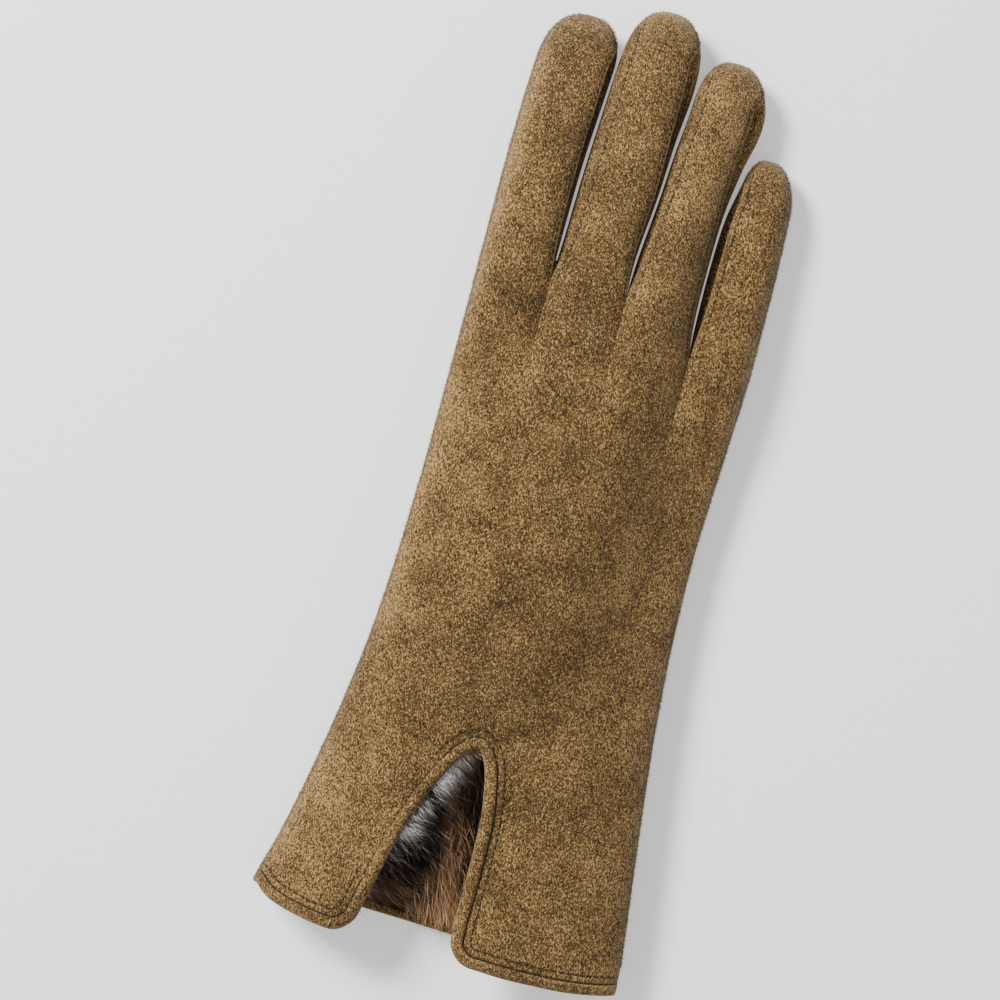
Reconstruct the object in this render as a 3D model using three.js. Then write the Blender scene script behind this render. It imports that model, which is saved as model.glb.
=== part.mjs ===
// A lady's suede glove for the right hand, lying with its back up and its thumb folded under the palm.
// Units are millimetres. X runs across the hand towards the little finger, Y from the cuff to the
// fingertips, and Z up from the surface that the glove lies on.
// The suede is modelled as skins, lofted between a back face and a palm face, and each skin is then
// given its real wall, so the hand, the four fingers and the thumb are hollow.
import * as THREE from "three";
import { mergeGeometries, mergeVertices } from "three/addons/utils/BufferGeometryUtils.js";

const { clamp, lerp, smoothstep, degToRad } = THREE.MathUtils;

// Driving sizes.
const SUEDE = 1.5;
const GAP = 0.3;
const LINING_GAP = 0.65;
const WELD = 1e-3;
const SNAP = 1e5;
const BACKING = 0.9;
const LOCK_LENGTH = 3.4;
const LOCK_LEAN = 2.6;

// The middle of the glove's outline, which becomes the origin.
const CENTRE = { x: -3.32, y: 134.33 };

// The two outer edges of the hand and its thickness, from the cuff to the highest crotch.
const HAND = [
  { y: 0, left: -57.6, right: 49.8, thick: 23 },
  { y: 8, left: -55.8, right: 49.4, thick: 23.5 },
  { y: 20, left: -52.6, right: 47.9, thick: 24 },
  { y: 40, left: -48.7, right: 45.2, thick: 24 },
  { y: 60, left: -45.6, right: 42.7, thick: 23.5 },
  { y: 80, left: -43.1, right: 40.6, thick: 22.2 },
  { y: 100, left: -41.8, right: 39.2, thick: 20.8 },
  { y: 125, left: -41.2, right: 38.5, thick: 20 },
  { y: 150, left: -41.2, right: 39.3, thick: 19.5 },
  { y: 177, left: -41.4, right: 40.2, thick: 18.5 },
  { y: 188, left: -41.6, right: 40.1, thick: 18 },
];

// Where the lines between the fingers run down the hand.
const RAILS = [
  { y: 60.5, first: -22, second: 6.5, third: 24.5 },
  { y: 120, first: -21, second: 3, third: 23 },
  { y: 177, first: -20.8, second: 0.9, third: 22 },
  { y: 188, first: -20.9, second: 0.6, third: 22 },
];

// The cuff's slit in the back of the glove, as the edge of the suede beside the binding.
const SLIT = [
  { y: 0, left: -29, right: 4.3 },
  { y: 9, left: -27.2, right: 3.5 },
  { y: 22, left: -24.5, right: 3.5 },
  { y: 32, left: -22, right: 3.3 },
  { y: 41, left: -19, right: 2.8 },
  { y: 48, left: -16, right: 1.6 },
  { y: 54, left: -12.8, right: 0.1 },
  { y: 58, left: -9.9, right: -1.9 },
  { y: 60, left: -7.4, right: -3.8 },
  { y: 60.5, left: -5.5, right: -5.5 },
];
const SLIT_TOP = 60.5;
const CORNER = 4.2;
const HIGHEST_CROTCH = 188;

// The edge of the suede along the cuff: how far up each face it starts, at places across the cuff.
const HEM = {
  back: [
    { x: -54.5, up: 7.6 },
    { x: -50, up: 4.6 },
    { x: -42, up: 2.5 },
    { x: -34, up: 1.5 },
    { x: -28, up: 1.4 },
    { x: 4, up: 1.4 },
    { x: 20, up: 1 },
    { x: 36, up: 1.6 },
    { x: 49, up: 3.4 },
  ],
  palm: [
    { x: -54.5, up: 7.6 },
    { x: -40, up: 7.2 },
    { x: -20, up: 6.9 },
    { x: 0, up: 6.3 },
    { x: 25, up: 4.8 },
    { x: 49, up: 3.4 },
  ],
};

// The fingers. Left and right are the edges seen from above, and the seams lie in from them on the back.
// An edge on the outside of the hand has no seam strip: its back and palm faces meet there.
const FINGERS = [
  {
    name: "index", tip: 263.3, cap: 14, leftCrotch: 188, rightCrotch: 188, outer: "left",
    rows: [
      { y: 188, left: -41.6, right: -20.9, seamLeft: 0, seamRight: 0, thick: 18 },
      { y: 200, left: -41.7, right: -21, seamLeft: 0, seamRight: 0.9, thick: 18 },
      { y: 222, left: -41.9, right: -20.8, seamLeft: 0, seamRight: 1.3, thick: 17.5 },
      { y: 245, left: -41.5, right: -19.7, seamLeft: 0, seamRight: 1.7, thick: 16.5 },
      { y: 263.3, left: -40, right: -18.9, seamLeft: 0, seamRight: 1.7, thick: 15 },
    ],
  },
  {
    name: "middle", tip: 270.2, cap: 15, leftCrotch: 188, rightCrotch: 188, outer: "none",
    rows: [
      { y: 188, left: -20.9, right: 0.6, seamLeft: 0, seamRight: 0, thick: 18 },
      { y: 200, left: -20.4, right: 0.3, seamLeft: 1.4, seamRight: 0.7, thick: 18 },
      { y: 218, left: -20.1, right: 1.7, seamLeft: 1.8, seamRight: 1, thick: 17.5 },
      { y: 235, left: -19.5, right: 2.5, seamLeft: 1.8, seamRight: 1.7, thick: 17 },
      { y: 251, left: -18.8, right: 3.7, seamLeft: 1.5, seamRight: 2.9, thick: 16.5 },
      { y: 270.2, left: -17.5, right: 2.6, seamLeft: 1.5, seamRight: 2.7, thick: 15 },
    ],
  },
  {
    name: "ring", tip: 261.3, cap: 15, leftCrotch: 188, rightCrotch: 177, outer: "none",
    rows: [
      { y: 177, left: 0.9, right: 22, seamLeft: 0, seamRight: 0, thick: 18 },
      { y: 188, left: 0.6, right: 20.9, seamLeft: 0, seamRight: 0.6, thick: 18 },
      { y: 200, left: 0.9, right: 20.6, seamLeft: 1.3, seamRight: 0.8, thick: 17.5 },
      { y: 218, left: 2.3, right: 20.9, seamLeft: 1.5, seamRight: 1.1, thick: 17 },
      { y: 232, left: 3.1, right: 22.6, seamLeft: 1.5, seamRight: 2.4, thick: 16.5 },
      { y: 245, left: 4.2, right: 25, seamLeft: 1.5, seamRight: 3.8, thick: 16 },
      { y: 261.3, left: 4.3, right: 23.5, seamLeft: 1.5, seamRight: 3.2, thick: 14.5 },
    ],
  },
  {
    name: "little", tip: 237.6, cap: 14, leftCrotch: 177, rightCrotch: 177, outer: "right",
    rows: [
      { y: 177, left: 22, right: 40.2, seamLeft: 0, seamRight: 0, thick: 18 },
      { y: 190, left: 21.4, right: 40.1, seamLeft: 1.6, seamRight: 0, thick: 16.5 },
      { y: 205, left: 21.2, right: 39.9, seamLeft: 2.1, seamRight: 0, thick: 16 },
      { y: 218, left: 21.7, right: 39.4, seamLeft: 1.8, seamRight: 0, thick: 15.5 },
      { y: 228, left: 23.2, right: 38.7, seamLeft: 1.5, seamRight: 0, thick: 15 },
      { y: 237.6, left: 22.8, right: 37, seamLeft: 1.4, seamRight: 0, thick: 14 },
    ],
  },
];

// Cross-sections. A level is a share of the thickness, counted up from the bed that the glove lies on.
const EDGE_LEVEL = 0.45;
const BACK_SEAM_LEVEL = 0.8;
const PALM_SEAM_LEVEL = 0.17;
// How square each section is towards its edges, and how much of a palm side is flattened where it lies.
const SQUARENESS = { handBack: 2.5, handPalm: 4, fingerBack: 2.2, fingerPalm: 3, betweenSeams: 2.6 };
const FLATTENED = { hand: 1.2, finger: 1.15 };
const KNUCKLE_BLEND = 34;
const CAP_ROUNDNESS = 2.3;
const SEAM_CLOSES = { from: 11.2, to: 8.6 };
const SEAM_MEETS_EDGE = { from: 14, to: 6 };
const SEAM_DROP = SUEDE + 2.5 * GAP;

// The bed: the palm is held up by the thumb beneath it, and comes down to the surface towards the
// little finger, the cuff and the fingertips.
const BED = { lift: 8.4, full: 4, none: 31, cuffNone: 52, cuffFull: 104, fingersFull: 197, fingersNone: 292 };

// Shallow dents and swells of the soft back. Deep is below the surface where it is positive.
const DENTS = [
  { x: 33, y: 163, wide: 3.2, long: 24, turn: 2, deep: 1.3 },
  { x: -34.5, y: 160, wide: 2.6, long: 16, turn: -3, deep: 0.9 },
  { x: -29, y: 133, wide: 3.4, long: 15, turn: -38, deep: 1 },
  { x: -23, y: 147, wide: 4.5, long: 15, turn: -30, deep: -0.8 },
  { x: -9, y: 184, wide: 6, long: 7, turn: -35, deep: 1.2 },
  { x: -29, y: 182, wide: 5, long: 8, turn: 20, deep: 0.8 },
  { x: 3, y: 142, wide: 8, long: 20, turn: 12, deep: 0.9 },
  { x: 12, y: 104, wide: 14, long: 12, turn: 20, deep: 0.7 },
  { x: 6, y: 32, wide: 3, long: 24, turn: -3, deep: 0.9 },
];

// The thumb, from its base on the palm to its tip, beneath the palm. Low is the share of its height
// that its underside is raised by. It is open to the hand as far as its crotch.
const THUMB = [
  { y: 95, x: -27, half: 7.4, low: 0.62 },
  { y: 98, x: -27, half: 9.8, low: 0.32 },
  { y: 102, x: -27, half: 11, low: 0.1 },
  { y: 109, x: -27.2, half: 11.5, low: 0 },
  { y: 125, x: -27.2, half: 11.6, low: 0 },
  { y: 152, x: -26.4, half: 11.3, low: 0 },
  { y: 168, x: -24.6, half: 10.8, low: 0 },
  { y: 182, x: -22.6, half: 10.2, low: 0 },
  { y: 195, x: -21, half: 9.8, low: 0.04 },
];
const THUMB_TIP = 195;
const THUMB_CAP = 12;
const THUMB_RIM = 60;
const THUMB_SECTION = { boxy: 0.35, fullness: 1.3, underColumns: 10, overColumns: 4 };
const THUMB_BASE_ROWS = [95, 98, 102, 109, 122, 137];
const THUMB_TUBE_ROWS = [152, 162, 173, 183, 187, 190.5, 193, 194.5, 195];

// The hole in the palm where the thumb opens into the hand, in columns and rows of the index's palm face.
const THUMB_HOLE = { firstColumn: 2, fromY: 102, toY: 148 };

// The bound edge of the cuff: its section, out from the edge of the suede and up from the suede's face.
const BINDING = [
  { out: 0.3, up: 0 },
  { out: 1, up: 0.45 },
  { out: 2, up: 0.3 },
  { out: 2.6, up: -0.75 },
  { out: 2, up: -1.85 },
  { out: 0.3, up: -1.6 },
];

// A table's column at a place, which is a y unless the rows stand along x, on a smooth curve through them.
function lookUp(rows, column, place, axis = "y") {
  let k = 0;
  while (k < rows.length - 2 && place > rows[k + 1][axis]) k += 1;
  const [low, high] = [rows[k], rows[k + 1]];
  const slope = (n) => {
    const before = rows[Math.max(n - 1, 0)];
    const after = rows[Math.min(n + 1, rows.length - 1)];
    return (after[column] - before[column]) / (after[axis] - before[axis]);
  };
  const step = high[axis] - low[axis];
  const t = clamp((place - low[axis]) / step, 0, 1);
  const rise = high[column] - low[column];
  const a = slope(k) * step - rise;
  const b = rise - slope(k + 1) * step;
  return lerp(low[column], high[column], t) + t * (1 - t) * (a * (1 - t) + b * t);
}

// A quarter of a rounded section: 1 in the middle and 0 at the edge.
function arch(s, power) {
  const share = Math.abs(s);
  return share > 1 - 1e-9 ? 0 : (1 - share ** power) ** (1 / power);
}

// How high the surface under the palm face is.
function bed(x, y) {
  const across = 1 - smoothstep(x, BED.full, BED.none);
  const rise = smoothstep(y, BED.cuffNone, BED.cuffFull);
  const fall = 1 - smoothstep(y, BED.fingersFull, BED.fingersNone);
  return BED.lift * across * rise * fall;
}

// How much of its full width and thickness a finger has near its tip.
function capShare(finger, y) {
  const t = (y - (finger.tip - finger.cap)) / finger.cap;
  return t <= 0 ? 1 : arch(t, CAP_ROUNDNESS);
}

// 1 where a finger's side strip is at its full height, and 0 where the back and palm faces have met.
function seamOpen(finger, y) {
  return 1 - smoothstep(y, finger.tip - SEAM_CLOSES.from, finger.tip - SEAM_CLOSES.to);
}

// The x of a finger's edge, or of its back seam, above and below the crotch beside it.
function fingerEdge(lane, side, y, atSeam) {
  const finger = FINGERS[lane];
  const rails = ["first", "second", "third"];
  const rail = side === "left" ? rails[lane - 1] : rails[lane];
  const crotch = finger[side + "Crotch"];
  if (finger.outer === side && y <= crotch) return lookUp(HAND, side, y);
  if (finger.outer !== side && y <= crotch) return lookUp(RAILS, rail, y);
  const edge = lookUp(finger.rows, side, y);
  const seam = lookUp(finger.rows, side === "left" ? "seamLeft" : "seamRight", y);
  const fades = smoothstep(y, finger.tip - SEAM_MEETS_EDGE.from, finger.tip - SEAM_MEETS_EDGE.to);
  const inset = atSeam ? seam * (1 - fades) : 0;
  const middle = (lookUp(finger.rows, "left", y) + lookUp(finger.rows, "right", y)) / 2;
  return middle + (edge + (side === "left" ? inset : -inset) - middle) * capShare(finger, y);
}

// The level of the hand's own section, as if it had no fingers.
function handLevel(x, y, onBack) {
  const [left, right] = [lookUp(HAND, "left", y), lookUp(HAND, "right", y)];
  const s = (2 * x - left - right) / (right - left);
  if (onBack) return EDGE_LEVEL + (1 - EDGE_LEVEL) * arch(s, SQUARENESS.handBack);
  return EDGE_LEVEL * (1 - Math.min(1, FLATTENED.hand * arch(s, SQUARENESS.handPalm)));
}

// The level of one finger's section, between its seams.
function fingerLevel(lane, x, y, onBack) {
  const finger = FINGERS[lane];
  const [left, right] = [fingerEdge(lane, "left", y, true), fingerEdge(lane, "right", y, true)];
  const s = right - left < WELD ? 0 : (2 * x - left - right) / (right - left);
  const side = s < 0 ? "left" : "right";
  const open = finger.outer === side ? 0 : seamOpen(finger, y);
  const seam = lerp(EDGE_LEVEL, onBack ? BACK_SEAM_LEVEL : PALM_SEAM_LEVEL, open);
  const flat = clamp(1 - Math.abs(s) ** SQUARENESS.betweenSeams, 0, 1);
  const full = lerp(arch(s, onBack ? SQUARENESS.fingerBack : SQUARENESS.fingerPalm), flat, open);
  const level = onBack ? lerp(seam, 1, full) : seam * (1 - Math.min(1, FLATTENED.finger * full));
  return EDGE_LEVEL + (level - EDGE_LEVEL) * capShare(finger, y);
}

// How far up the hand the fingers part, at this place across one of them.
function crotchAt(lane, x, y) {
  const { leftCrotch, rightCrotch } = FINGERS[lane];
  const [left, right] = [fingerEdge(lane, "left", y, false), fingerEdge(lane, "right", y, false)];
  return lerp(leftCrotch, rightCrotch, clamp((x - left) / Math.max(right - left, WELD), 0, 1));
}

// How far the back is pushed in by its dents.
function dented(x, y) {
  return DENTS.reduce((sum, dent) => {
    const turn = degToRad(dent.turn);
    const [dx, dy] = [x - dent.x, y - dent.y];
    const across = (dx * Math.cos(turn) + dy * Math.sin(turn)) / dent.wide;
    const along = (dy * Math.cos(turn) - dx * Math.sin(turn)) / dent.long;
    return sum + dent.deep * Math.exp(-across * across - along * along);
  }, 0);
}

// A point of the back or palm face.
function facePoint(lane, x, y, onBack) {
  const finger = FINGERS[lane];
  const parted = smoothstep(y, crotchAt(lane, x, y) - KNUCKLE_BLEND, crotchAt(lane, x, y));
  const hand = parted < 1 ? lookUp(HAND, "thick", y) * handLevel(x, y, onBack) : 0;
  const thick = y > HIGHEST_CROTCH ? lookUp(finger.rows, "thick", y) : lookUp(HAND, "thick", y);
  const own = parted > 0 ? thick * fingerLevel(lane, x, y, onBack) : 0;
  const dent = onBack ? dented(x, y) * arch(handShare(x, y), 4) : 0;
  return new THREE.Vector3(x, y, bed(x, y) + lerp(hand, own, parted) - dent);
}

// How far out towards an edge of the hand a point is, so that dents fade there.
function handShare(x, y) {
  const [left, right] = [fingerEdge(0, "left", y, false), fingerEdge(3, "right", y, false)];
  return right - left < WELD ? 0 : (2 * x - left - right) / (right - left);
}

// Moves a point near a square corner onto a rounded one. Both arguments are distances from the edges.
function rounded(fromSide, fromHem) {
  if (fromSide >= CORNER || fromHem >= CORNER) return [fromSide, fromHem];
  const [u, v] = [1 - fromSide / CORNER, 1 - fromHem / CORNER];
  const [p, q] = [u * Math.sqrt(1 - (v * v) / 2), v * Math.sqrt(1 - (u * u) / 2)];
  return [CORNER * (1 - p), CORNER * (1 - q)];
}

// A point of the cuff below the slit's top. Share runs across the piece, and up from its hem to there.
// The piece is "left" or "right", the two flaps of the back, or "palm".
function cuffPoint(piece, share, up) {
  const onBack = piece !== "palm";
  const edges = (y) => [
    piece === "right" ? lookUp(SLIT, "right", y) : lookUp(HAND, "left", y),
    piece === "left" ? lookUp(SLIT, "left", y) : lookUp(HAND, "right", y),
  ];
  const hem = (x) => lookUp(onBack ? HEM.back : HEM.palm, "up", x, "x");
  const across = CROWDED[onBack ? piece : "both"](share);
  let start = 0;
  for (let pass = 0; pass < 4; pass += 1) start = hem(lerp(...edges(start), across));
  let y = lerp(start, SLIT_TOP, up);
  let x = lerp(...edges(y), across);
  if (onBack && y - start < CORNER) {
    const slit = lookUp(SLIT, piece, y);
    const inwards = piece === "left" ? -1 : 1;
    const [fromSlit, fromHem] = rounded(Math.abs(x - slit), y - start);
    y = start + fromHem;
    x = slit + inwards * fromSlit;
  }
  return facePoint(1, x, y, onBack);
}

// One patch of a skin: a grid of points, with its faces turned over where it is the underside, and
// with a tip in the middle of each cell where it carries locks. Cells that skip names are left open.
function patch(columns, rows, pointAt, { turned = false, locks = false, skip = () => false } = {}) {
  const points = rows.flatMap((row) => columns.map((column) => pointAt(column, row)));
  const tips = points.map(() => 0);
  const index = [];
  for (let j = 0; j < rows.length - 1; j += 1) {
    for (let i = 0; i < columns.length - 1; i += 1) {
      const a = j * columns.length + i;
      const corners = [a, a + 1, a + columns.length + 1, a + columns.length];
      if (turned) corners.reverse();
      const [p, q, r, s] = corners;
      if (skip(i, rows[j])) continue;
      if (locks) {
        const middle = new THREE.Vector3();
        corners.forEach((corner) => middle.addScaledVector(points[corner], 1 / corners.length));
        const tip = points.push(middle) - 1;
        tips.push(1);
        index.push(p, q, tip, q, r, tip, r, s, tip, s, p, tip);
      } else {
        index.push(p, q, r, p, r, s);
      }
    }
  }
  const snapped = points.flatMap((point) => point.toArray()).map((size) => Math.round(size * SNAP) / SNAP);
  const geometry = solidGeometry(snapped, index);
  geometry.setAttribute("tip", new THREE.Float32BufferAttribute(tips, 1));
  return geometry;
}

function solidGeometry(positions, index) {
  const geometry = new THREE.BufferGeometry();
  geometry.setAttribute("position", new THREE.Float32BufferAttribute(positions, 3));
  geometry.setIndex(index);
  return geometry;
}

// Patches joined where their points meet, without the faces that closed up, and with normals.
function skin(patches) {
  const joined = mergeVertices(mergeGeometries(patches), WELD);
  const faces = [];
  const old = joined.index.array;
  for (let k = 0; k < old.length; k += 3) {
    const [a, b, c] = [old[k], old[k + 1], old[k + 2]];
    if (a !== b && b !== c && c !== a) faces.push(a, b, c);
  }
  joined.setIndex(faces);
  joined.computeVertexNormals();
  return joined;
}

// The edges that only one face uses, as a map from each edge's first point to its last.
function openEdges(surface) {
  const faces = surface.index.array;
  const edges = [];
  for (let k = 0; k < faces.length; k += 3) {
    for (let n = 0; n < 3; n += 1) edges.push([faces[k + n], faces[k + ((n + 1) % 3)]]);
  }
  const used = new Set(edges.map(([a, b]) => a + ":" + b));
  return new Map(edges.filter(([a, b]) => !used.has(b + ":" + a)));
}

// A closed wall: the skin moved to its outside and to its inside, joined along its open edges.
function wall(surface, outside, inside) {
  const { position, normal, tip } = surface.attributes;
  const count = position.count;
  const positions = [];
  [outside, inside].forEach((moved) => {
    for (let k = 0; k < count; k += 1) {
      const point = new THREE.Vector3().fromBufferAttribute(position, k);
      const facing = new THREE.Vector3().fromBufferAttribute(normal, k);
      positions.push(...point.add(moved(facing, tip.getX(k))).toArray());
    }
  });
  const faces = surface.index.array;
  const index = [...faces];
  for (let k = 0; k < faces.length; k += 3) {
    index.push(faces[k] + count, faces[k + 2] + count, faces[k + 1] + count);
  }
  openEdges(surface).forEach((b, a) => index.push(b, a, a + count, b, a + count, b + count));
  return solidGeometry(positions, index);
}

const sink = (depth) => (facing) => facing.multiplyScalar(-depth);
const sinkLevel = (depth) => (facing) => facing.setZ(0).normalize().multiplyScalar(-depth);

const range = (from, to, steps) => Array.from({ length: steps + 1 }, (_, k) => lerp(from, to, k / steps));

const CUFF_ROWS = [0, 0.04, 0.085, 0.2, 0.36, 0.52, 0.68, 0.8, 0.9, 0.97, 1];
const FACING_ROWS = [0.01, 0.04, 0.085];
const LINING_ROWS = [0.1, 0.2, 0.36, 0.52, 0.68, 0.8, 0.9, 1];
const LINING_END = 68;
const HAND_ROWS = [60.5, 74, 88, 95, 102, 118, 134, 148, 160, 169, 177, 182.5, 188];
const TIP_ROWS = [11.2, 10, 8.6, 5.8, 2.8, 0.8, 0];
const STRIP_END = 12.6;
const STRIP_COLUMNS = 4;
const FINGER_ROW_STEP = 13;
const COLUMNS = { back: 6, palm: 4, leftFlap: 9, rightFlap: 15 };
const CROWDING = 0.75;

// Columns stand closer together towards a rounded edge.
const CROWDED = {
  left: (share) => lerp(share, 1 - Math.cos((share * Math.PI) / 2), CROWDING),
  right: (share) => lerp(share, Math.sin((share * Math.PI) / 2), CROWDING),
  both: (share) => lerp(share, (1 - Math.cos(share * Math.PI)) / 2, CROWDING),
  none: (share) => share,
};

// Rows up a finger: even ones to the start of its rounded tip, and then closer ones to the end.
function fingerRows(finger) {
  const capStart = finger.tip - finger.cap;
  const steps = Math.round((capStart - HIGHEST_CROTCH) / FINGER_ROW_STEP);
  return [...range(HIGHEST_CROTCH, capStart, steps), ...TIP_ROWS.map((back) => finger.tip - back)];
}

// Patches of the cuff between two shares of its height.
function cuffPatches(rows, locks) {
  const piece = (name, columns) =>
    patch(range(0, 1, columns), rows, (s, t) => cuffPoint(name, s, t), { turned: name === "palm", locks });
  const palmColumns = COLUMNS.palm * FINGERS.length;
  return [piece("left", COLUMNS.leftFlap), piece("right", COLUMNS.rightFlap), piece("palm", palmColumns)];
}

// A point of one finger's share of the back or palm face, across it and up the hand and finger. The
// first row of the hand takes the points of the cuff's last row.
function lanePoint(lane, share, y, onBack) {
  if (y > SLIT_TOP) {
    const [left, right] = [fingerEdge(lane, "left", y, true), fingerEdge(lane, "right", y, true)];
    return facePoint(lane, lerp(left, right, CROWDED[FINGERS[lane].outer](share)), y, onBack);
  }
  const { leftFlap, rightFlap, back, palm } = COLUMNS;
  if (!onBack) return cuffPoint("palm", (lane + share) / FINGERS.length, 1);
  const column = (lane + share) * back;
  if (column <= leftFlap) return cuffPoint("left", column / leftFlap, 1);
  return cuffPoint("right", (column - leftFlap) / rightFlap, 1);
}

// Patches of one finger's back and palm faces along the given rows.
function lanePatches(lane, rows, { locks = false, hole = false } = {}) {
  return [true, false].map((onBack) => {
    const inHole = (i, y) => i >= THUMB_HOLE.firstColumn && y >= THUMB_HOLE.fromY && y < THUMB_HOLE.toY;
    const skip = (i, y) => hole && !onBack && inHole(i, y);
    const columns = range(0, 1, onBack ? COLUMNS.back : COLUMNS.palm);
    return patch(columns, rows, (s, y) => lanePoint(lane, s, y, onBack), { turned: !onBack, locks, skip });
  });
}

// Back and palm of the hand and of the fingers: one folded skin, open at the cuff, at the thumb and
// along the sides of the fingers.
function trankSkin() {
  const lanes = FINGERS.flatMap((finger, lane) =>
    lanePatches(lane, [...HAND_ROWS, ...fingerRows(finger).slice(1)], { hole: lane === 0 }));
  return skin([...cuffPatches(CUFF_ROWS, false), ...lanes]);
}

// Turned-in suede just inside the cuff's edge.
function facingSkin() {
  return skin(cuffPatches(FACING_ROWS, false));
}

// The lining, from the facing to a little above the slit.
function liningSkin() {
  const lanes = FINGERS.flatMap((finger, lane) => lanePatches(lane, [SLIT_TOP, LINING_END], { locks: true }));
  return skin([...cuffPatches(LINING_ROWS, true), ...lanes]);
}

// The strip round the sides of two neighbouring fingers, from tip to crotch to tip.
function fourchetteSkin(lane) {
  const side = (which, name) => {
    const finger = FINGERS[which];
    const end = finger.tip - STRIP_END;
    const rows = [...HAND_ROWS, ...fingerRows(finger).slice(1)];
    const inReach = rows.filter((y) => y >= finger[name + "Crotch"] && y < end);
    return [...inReach, end].map((y) => ({ which, name, y }));
  };
  const stations = [...side(lane, "right").reverse(), ...side(lane + 1, "left").slice(1)];
  const pointAt = (down, { which, name, y }) => {
    const seam = fingerEdge(which, name, y, true);
    const edge = fingerEdge(which, name, y, false);
    const top = facePoint(which, seam, y, true).z - SEAM_DROP;
    const bottom = facePoint(which, seam, y, false).z + SEAM_DROP;
    return new THREE.Vector3(lerp(seam, edge, 4 * down * (1 - down)), y, lerp(top, bottom, down));
  };
  return skin([patch(range(0, 1, STRIP_COLUMNS), stations, pointAt, { turned: true })]);
}

// The thumb: a tube from its tip to its crotch, and a trough that opens into the palm from there.
function thumbSkin() {
  const pointAt = (degrees, y) => {
    const closing = arch(clamp((y - THUMB_TIP + THUMB_CAP) / THUMB_CAP, 0, 1), CAP_ROUNDNESS);
    const x = lookUp(THUMB, "x", y);
    const high = bed(x, y) - GAP;
    const low = high * Math.max(lookUp(THUMB, "low", y), 0);
    const power = (t) => Math.sign(t) * Math.abs(t) ** THUMB_SECTION.boxy;
    const across = power(Math.sin(degToRad(degrees))) * lookUp(THUMB, "half", y);
    const up = clamp(power(Math.cos(degToRad(degrees))) * THUMB_SECTION.fullness, -1, 1);
    const middle = (low + high) / 2;
    return new THREE.Vector3(x + across * closing, y, middle + (up * closing * (high - low)) / 2);
  };
  const { underColumns, overColumns } = THUMB_SECTION;
  const underRows = [...THUMB_BASE_ROWS, ...THUMB_TUBE_ROWS];
  const under = patch(range(THUMB_RIM, 360 - THUMB_RIM, underColumns), underRows, pointAt);
  const over = patch(range(-THUMB_RIM, THUMB_RIM, overColumns), THUMB_TUBE_ROWS, pointAt);
  return skin([under, over]);
}

// The binding: its section carried round the edge of the cuff and of the slit.
function bindingGeometry(surface) {
  const { position, normal } = surface.attributes;
  const next = openEdges(surface);
  let start = 0;
  next.forEach((b, a) => {
    if (position.getY(a) < position.getY(start)) start = a;
  });
  const loop = [start];
  for (let k = next.get(start); k !== start; k = next.get(k)) loop.push(k);
  const at = (k) => new THREE.Vector3().fromBufferAttribute(position, loop[(k + loop.length) % loop.length]);
  const positions = [];
  const index = [];
  loop.forEach((vertex, k) => {
    const facing = new THREE.Vector3().fromBufferAttribute(normal, vertex);
    const along = at(k + 1).sub(at(k - 1)).normalize();
    const outward = along.clone().cross(facing).normalize();
    const face = outward.clone().cross(along).normalize();
    BINDING.forEach(({ out, up }, n) => {
      const raised = up > 0 ? up * Math.max(face.z, 0) : up;
      const point = at(k).addScaledVector(outward, out).addScaledVector(face, raised);
      positions.push(...point.toArray());
      const a = k * BINDING.length + n;
      const b = k * BINDING.length + ((n + 1) % BINDING.length);
      const ahead = ((k + 1) % loop.length) * BINDING.length;
      const [c, d] = [ahead + (b % BINDING.length), ahead + n];
      index.push(a, b, c, a, c, d);
    });
  });
  return solidGeometry(positions, index);
}

const SUEDE_LOOK = { color: 0x5b4a2e, roughness: 0.95, metalness: 0 };
const FUR_LOOK = { color: 0x4a3a2c, roughness: 1, metalness: 0 };

const glove = new THREE.Group();

function add(name, geometry, look) {
  const mesh = new THREE.Mesh(geometry, new THREE.MeshStandardMaterial(look));
  mesh.name = name;
  geometry.translate(-CENTRE.x, -CENTRE.y, 0);
  glove.add(mesh);
}

const trank = trankSkin();
add("trank", wall(trank, sink(0), sink(SUEDE)), SUEDE_LOOK);
["index_middle", "middle_ring", "ring_little"].forEach((pair, lane) => {
  add("fourchette_" + pair, wall(fourchetteSkin(lane), sink(0), sinkLevel(SUEDE)), SUEDE_LOOK);
});
add("thumb", wall(thumbSkin(), sink(0), sink(SUEDE)), SUEDE_LOOK);
add("cuff_binding", bindingGeometry(trank), SUEDE_LOOK);
const inner = SUEDE + LINING_GAP;
add("cuff_facing", wall(facingSkin(), sink(inner), sink(inner + BACKING)), SUEDE_LOOK);
const lock = (facing, tip) => {
  facing.multiplyScalar(-(inner + BACKING + tip * LOCK_LENGTH));
  facing.y -= tip * LOCK_LEAN;
  return facing;
};
add("fur_lining", wall(liningSkin(), sink(inner), lock), FUR_LOOK);

export default glove;
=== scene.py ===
"""A lady's suede glove for the right hand, lying with its back up, dressed over its frame.

Sizes are in millimetres on the glove's own pattern: x across the hand towards the little finger, y from
the cuff to the fingertips and z up from the surface that the glove lies on. Meshes are made in metres.
"""

import logging
import math
from dataclasses import dataclass, field
from enum import Enum

import bmesh
import bpy
import numpy as np
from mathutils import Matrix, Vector
from mathutils.kdtree import KDTree


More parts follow.
